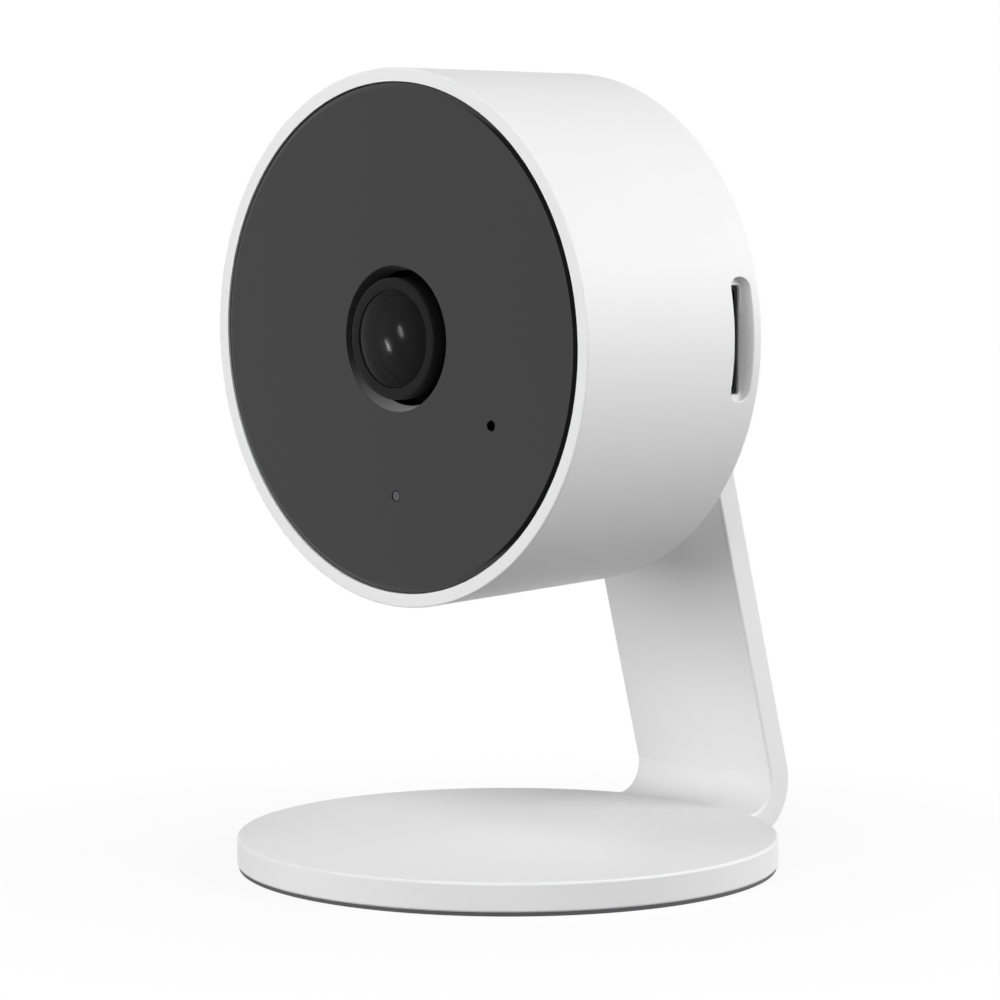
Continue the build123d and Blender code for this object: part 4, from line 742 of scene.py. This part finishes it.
class SECCAM_OT_housing(bpy.types.Operator):
    """White drum of the head, with the card pocket, sound holes, port and button holes cut into it"""

    bl_idname = "seccam.housing"
    bl_label = "Housing"

    def execute(self, context):
        s = context.scene.camera_head
        housing = mesh_object("head_housing", *turned(self.profile(s), turns=320))
        for cutter in (*self.card_pocket(s), *self.rear_holes(s)):
            combine(housing, mesh_object("cutter", *cutter), "DIFFERENCE")
        finish_piece(housing, finish("white_plastic"), "head", "white_plastic", "head_shell")
        return {"FINISHED"}

    def profile(self, s):
        """Section of the drum: rim, tapered side, rear face, flared mouth, ball seat, inner boss, bore."""
        front = s.diameter / 2
        rear = front - s.depth * tan(s.draft)
        bore, rear_wall = 27.4 * MM, 27.1 * MM
        window_gap, tape_gap, seat_round = 0.1 * MM, 0.15 * MM, 0.06 * MM
        mouth, mouth_round = 4.786 * MM, 0.15 * MM
        neck, neck_depth = 3.593 * MM, 27.007 * MM
        ball_seat, boss, boss_front = 4.52 * MM, 10.8 * MM, 24.8 * MM
        seat = s.window_diameter / 2 + window_gap
        ledge = s.window_thickness + tape_gap
        return rounded([
            (bore, ledge, 0), (seat, ledge, 0), (seat, 0, seat_round), (front, 0, s.front_round),
            (rear, s.depth, s.rear_round), (mouth, s.depth, mouth_round), (neck, neck_depth, 0),
            (ball_seat, boss_front, 0), (boss, boss_front, 0), (boss, rear_wall, 0), (bore, rear_wall, 0)])

    def card_pocket(self, s):
        """Cutters for the pocket in the side and for the slot in the pocket's floor. The pocket has a
        rounded outline, a lip that follows the drum's curve, and a small round at the lip and the floor.
        Each row of the outline stands at x = level + rides sqrt((radius at that depth)^2 - height^2). The
        root is the drum's surface, and rides is 1 for the rows of the lip and 0 for the others."""
        middle, deep = 25.7 * MM, 1.8 * MM
        wide, tall, corner, raised = 3.2 * MM, 13.9 * MM, 1.4 * MM, 0.1 * MM
        slot_wide, slot_tall, slot_corner, slot_shift = 2.04 * MM, 12.3 * MM, 0.45 * MM, 0.12 * MM
        slot_over, slot_end = 0.3 * MM, 25.83 * MM
        lip, fillet, gap = 0.14 * MM, 0.35 * MM, 0.4 * MM
        floor = s.diameter / 2 - middle * tan(s.draft) - deep
        quarter = np.linspace(0, np.pi / 2, 6)

        def place(u, v, rows):
            level, rides = rows[:, :1], rows[:, 1:]
            radius = s.diameter / 2 - (middle + u) * tan(s.draft)
            x = level + rides * np.sqrt(radius ** 2 - v ** 2)
            return np.stack([x, HEAD_FRONT_Y + middle + u, HEAD_AXIS_Z + v], -1)

        outline = filled(rounded_rectangle(wide, tall, corner) + np.array((0, raised)), gap)
        grows = np.concatenate([
            [2 * lip, 2 * lip], lip * (1 - np.sin(quarter)), fillet * (np.cos(quarter) - 1)])
        levels = np.concatenate([
            [s.diameter / 2 + lip, lip], lip * (np.cos(quarter) - 1),
            floor + fillet * (1 - np.sin(quarter))])
        rides = np.repeat((0, 1, 0), (1, 1 + len(quarter), len(quarter)))
        pocket = outline_stack(outline, grows, np.stack([levels, rides], -1), place)
        slot_outline = rounded_rectangle(slot_wide, slot_tall, slot_corner) + np.array((slot_shift, 0))
        slot_rows = np.array([(floor + slot_over, 0), (slot_end, 0)])
        return pocket, outline_stack(slot_outline, np.zeros(2), slot_rows, place)

    def rear_holes(self, s):
        """Cutters for the rear wall: sound holes and the button's hole with a small flare at the face, and
        the power port's opening in a rounded recess. The sound holes stand in five rows, and a row has one
        hole less for each step from the middle row."""
        flare, over, inside, steps = 0.1 * MM, 0.3 * MM, 26.5 * MM, 32
        sound_radius, button_radius = 0.6 * MM, 1.55 * MM
        pitch, grille_height, longest = 2.1 * MM, 18.6 * MM, 7
        recess_wide, recess_tall, recess_corner = 6.4 * MM, 11.0 * MM, 1.7 * MM
        recess_deep, recess_overlap = 0.6 * MM, 0.2 * MM
        port = np.array((-19.3, 0)) * MM
        half, side, cut = 4.0 * MM, 1.7 * MM, 1.0 * MM
        levels = np.array([s.depth + over, s.depth, s.depth - flare, inside])
        grows = np.array([flare, flare, 0, 0])
        row_gap = pitch * sin(radians(60))
        spots = [
            ((i - (longest - 1 - abs(row)) / 2) * pitch, grille_height + row * row_gap)
            for row in range(-2, 3) for i in range(longest - abs(row))]
        rings = [circle(sound_radius, spot, steps) for spot in spots]
        low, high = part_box("reset_button")
        button = ((low.x + high.x) / 2, (low.z + high.z) / 2 - HEAD_AXIS_Z)
        rings.append(circle(button_radius, button, steps))
        holes = [outline_stack(ring, grows, levels, across_axis) for ring in rings]
        recess = rounded_rectangle(recess_wide, recess_tall, recess_corner) + port
        recess_levels = np.array([*levels[:3], s.depth - recess_deep])
        holes.append(outline_stack(recess, grows, recess_levels, across_axis))
        port_outline = np.array([
            (side, -half), (side, half), (cut - side, half), (-side, half - cut), (-side, cut - half),
            (cut - side, -half)]) + port
        port_levels = np.array([s.depth - recess_deep + recess_overlap, inside])
        return joined(*holes), outline_stack(port_outline, np.zeros(2), port_levels, across_axis)


class SECCAM_OT_window(bpy.types.Operator):
    """Dark front disc with a bevelled edge, the tapered lens hole and the two small holes"""

    bl_idname = "seccam.window"
    bl_label = "Window"

    def execute(self, context):
        s = context.scene.camera_head
        edge, hole = s.window_diameter / 2, s.lens_hole / 2
        fine_round, bevel_round, flare, over, steps = 0.05 * MM, 0.4 * MM, 0.05 * MM, 0.3 * MM, 48
        sound_radius, sound_place = 0.6 * MM, np.array((15.4, -8.9)) * MM
        light_radius, light_place = 0.65 * MM, np.array((0, -17.8)) * MM
        section = rounded([
            (hole, 0, fine_round), (edge - s.window_bevel, 0, bevel_round),
            (edge, s.bevel_drop, fine_round), (edge, s.window_thickness, 0),
            (hole - s.lens_hole_taper, s.window_thickness, 0)])
        window = mesh_object("window_disc", *turned(section, turns=320))
        levels = np.array([-over, 0, flare, s.window_thickness + over])
        grows = np.array([flare, flare, 0, 0])
        sound = outline_stack(circle(sound_radius, sound_place, steps), grows, levels, across_axis)
        light = outline_stack(circle(light_radius, light_place, steps), grows, levels, across_axis)
        combine(window, mesh_object("holes", *joined(sound, light)), "DIFFERENCE")
        finish_piece(window, finish("window"), "head", "window", "front_window")
        self.grind_lens_hole(window, s)
        light_apart(window)
        return {"FINISHED"}

    def grind_lens_hole(self, window, s):
        """Gives the lens hole's wall its ground finish: the faces whose centres lie near its mean radius,
        between the window's front and back."""
        skin = 0.1 * MM
        reach = s.lens_hole_taper / 2
        radius = s.lens_hole / 2 - reach
        faces = window.data.polygons
        middle = np.empty(len(faces) * 3)
        faces.foreach_get("center", middle)
        x, y, z = middle.reshape(-1, 3).T
        depth = y - HEAD_FRONT_Y
        wall = np.abs(np.hypot(x, z - HEAD_AXIS_Z) - radius) < reach
        wall &= (depth > skin) & (depth < s.window_thickness - skin)
        window.data.materials.append(finish("cut_acrylic"))
        faces.foreach_set("material_index", wall.astype(np.int32))


class SECCAM_OT_lens(bpy.types.Operator):
    """Lens ring and its domed front glass"""

    bl_idname = "seccam.lens"
    bl_label = "Lens"

    def execute(self, context):
        s = context.scene.camera_head
        ring, glass = s.lens_diameter / 2, s.glass_diameter / 2
        seat, seat_depth = glass + 0.05 * MM, 0.82 * MM
        inner_round, outer_round = 0.06 * MM, 0.25 * MM
        ring_back, thread, bore, back = 4.12 * MM, 6.0 * MM, 4.6 * MM, 10.0 * MM
        glass_step, glass_edge = 0.1 * MM, 1.2 * MM
        hollow, reach = 6.5 * MM, 4.5 * MM
        proud = -s.lens_proud
        section = rounded([
            (seat, proud, inner_round), (ring, proud, outer_round), (ring, ring_back, 0),
            (thread, ring_back, 0), (thread, back, 0), (bore, back, 0), (bore, seat_depth, 0),
            (seat, seat_depth, 0)])
        barrel = mesh_object("lens_ring", *turned(section, turns=192))
        finish_piece(barrel, finish("lens_body"), "head", "lens_body", "lens_barrel")
        light_apart(barrel)
        rim = proud + glass_step
        crown = s.glass_crown
        sag = crown - sqrt(crown ** 2 - glass ** 2)
        front = arc(rim - sag + crown, crown, np.pi, np.pi - np.arcsin(glass / crown), steps=24)
        hollow_centre = rim + glass_edge + sqrt(hollow ** 2 - reach ** 2)
        inner = arc(hollow_centre, hollow, np.pi - np.arcsin(reach / hollow), np.pi, steps=24)
        edge = np.array([(glass, rim + glass_edge)])
        dome = mesh_object("lens_dome", *turned(np.concatenate([front, edge, inner]), turns=128))
        finish_piece(dome, finish("glass"), "head", "glass", "lens_front_glass")
        light_apart(dome)
        self.make_catchlights(context, dome)
        return {"FINISHED"}

    def make_catchlights(self, context, dome):
        """Two small strip lamps that light the front glass alone, for the two glints near its middle."""
        distance, size, tilt = 70 * MM, (3.6 * MM, 11.5 * MM), radians(27)
        watts = context.scene.camera_stage.catchlight
        glass_only = lamp_pieces("front_glass")
        glass_only.objects.link(dome)
        target = Vector((0, HEAD_FRONT_Y, HEAD_AXIS_Z))
        for name, turn, rise in (("upper_catchlight", -29.7, 2.4), ("lower_catchlight", -45.4, -8.0)):
            lamp = add_lamp(name, turn, rise, distance, target, size, watts)
            lamp.data.shape = "ELLIPSE"
            lamp.rotation_euler.rotate_axis("Z", tilt)
            lamp.light_linking.receiver_collection = glass_only


class SECCAM_OT_carried(bpy.types.Operator):
    """Finishes of the solids that stay as they are"""

    bl_idname = "seccam.carried"
    bl_label = "Inner pieces"

    SLOTS = {
        "white_plastic": ["arm_screw_cap", "reset_button"],
        "steel": ["base_weight", "ball_stud_screw", "clamp_screws", "chassis_screws", "led_screws",
                  "sensor_screws"],
        "bright_steel": ["usb_shell", "processor_shield", "microphone"],
        "nylon": ["friction_cup"],
        "black_plastic": ["ball_clamp", "chassis", "lens_holder", "filter_base", "filter_shuttle",
                          "card_socket", "usb_tongue", "switch_body", "switch_plunger", "flex_connectors",
                          "speaker_basket", "speaker_cone", "lens_stop"],
        "soft_rubber": ["mic_boot", "lens_shade", "speaker_gasket"],
        "tape": ["window_tape"],
        "board": ["led_board", "sensor_board", "main_board", "radio_module"],
        "chip": ["processor", "memory_chip", "image_sensor"],
        "led_clear": ["ir_leds", "status_led"],
        "light_pipe": ["light_pipe"],
        "glass": ["lens_rear_glass"],
        "filter_glass": ["day_filter", "night_filter"],
        "flex": ["sensor_flex", "aerial"],
        "copper": ["filter_coil"],
    }

    def execute(self, context):
        for slot, nodes in self.SLOTS.items():
            for node in nodes:
                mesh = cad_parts[node].data
                mesh.materials.clear()
                mesh.materials.append(finish(slot))
        return {"FINISHED"}


class SECCAM_PT_panel(bpy.types.Panel):
    """Lists the pieces, sizes and finishes"""

    bl_idname = "SECCAM_PT_panel"
    bl_label = "Security camera"
    bl_space_type = "VIEW_3D"
    bl_region_type = "UI"
    bl_category = "Security camera"

    def draw(self, context):
        for operator in OPERATORS:
            self.layout.operator(operator.bl_idname)
        for group in GROUPS:
            box = self.layout.box()
            settings = getattr(context.scene, group)
            for name in settings.bl_rna.properties.keys():
                if name not in ("rna_type", "name"):
                    box.prop(settings, name)


GROUPS = {
    "camera_stand": StandSizes,
    "camera_head": HeadSizes,
    "camera_finishes": Finishes,
    "camera_stage": StageSettings,
}
OPERATORS = [
    SECCAM_OT_stage, SECCAM_OT_stand, SECCAM_OT_foot, SECCAM_OT_joint, SECCAM_OT_housing, SECCAM_OT_window,
    SECCAM_OT_lens, SECCAM_OT_carried,
]


def register():
    for kind in (*GROUPS.values(), *OPERATORS, SECCAM_PT_panel):
        bpy.utils.register_class(kind)
    for name, kind in GROUPS.items():
        setattr(bpy.types.Scene, name, bpy.props.PointerProperty(type=kind))


def unregister():
    for name in GROUPS:
        delattr(bpy.types.Scene, name)
    for kind in reversed((*GROUPS.values(), *OPERATORS, SECCAM_PT_panel)):
        bpy.utils.unregister_class(kind)


def main():
    register()
    bpy.ops.seccam.stage()
    bpy.ops.seccam.stand()
    bpy.ops.seccam.foot()
    bpy.ops.seccam.joint()
    bpy.ops.seccam.housing()
    bpy.ops.seccam.window()
    bpy.ops.seccam.lens()
    bpy.ops.seccam.carried()


if __name__ == "__main__":
    main()
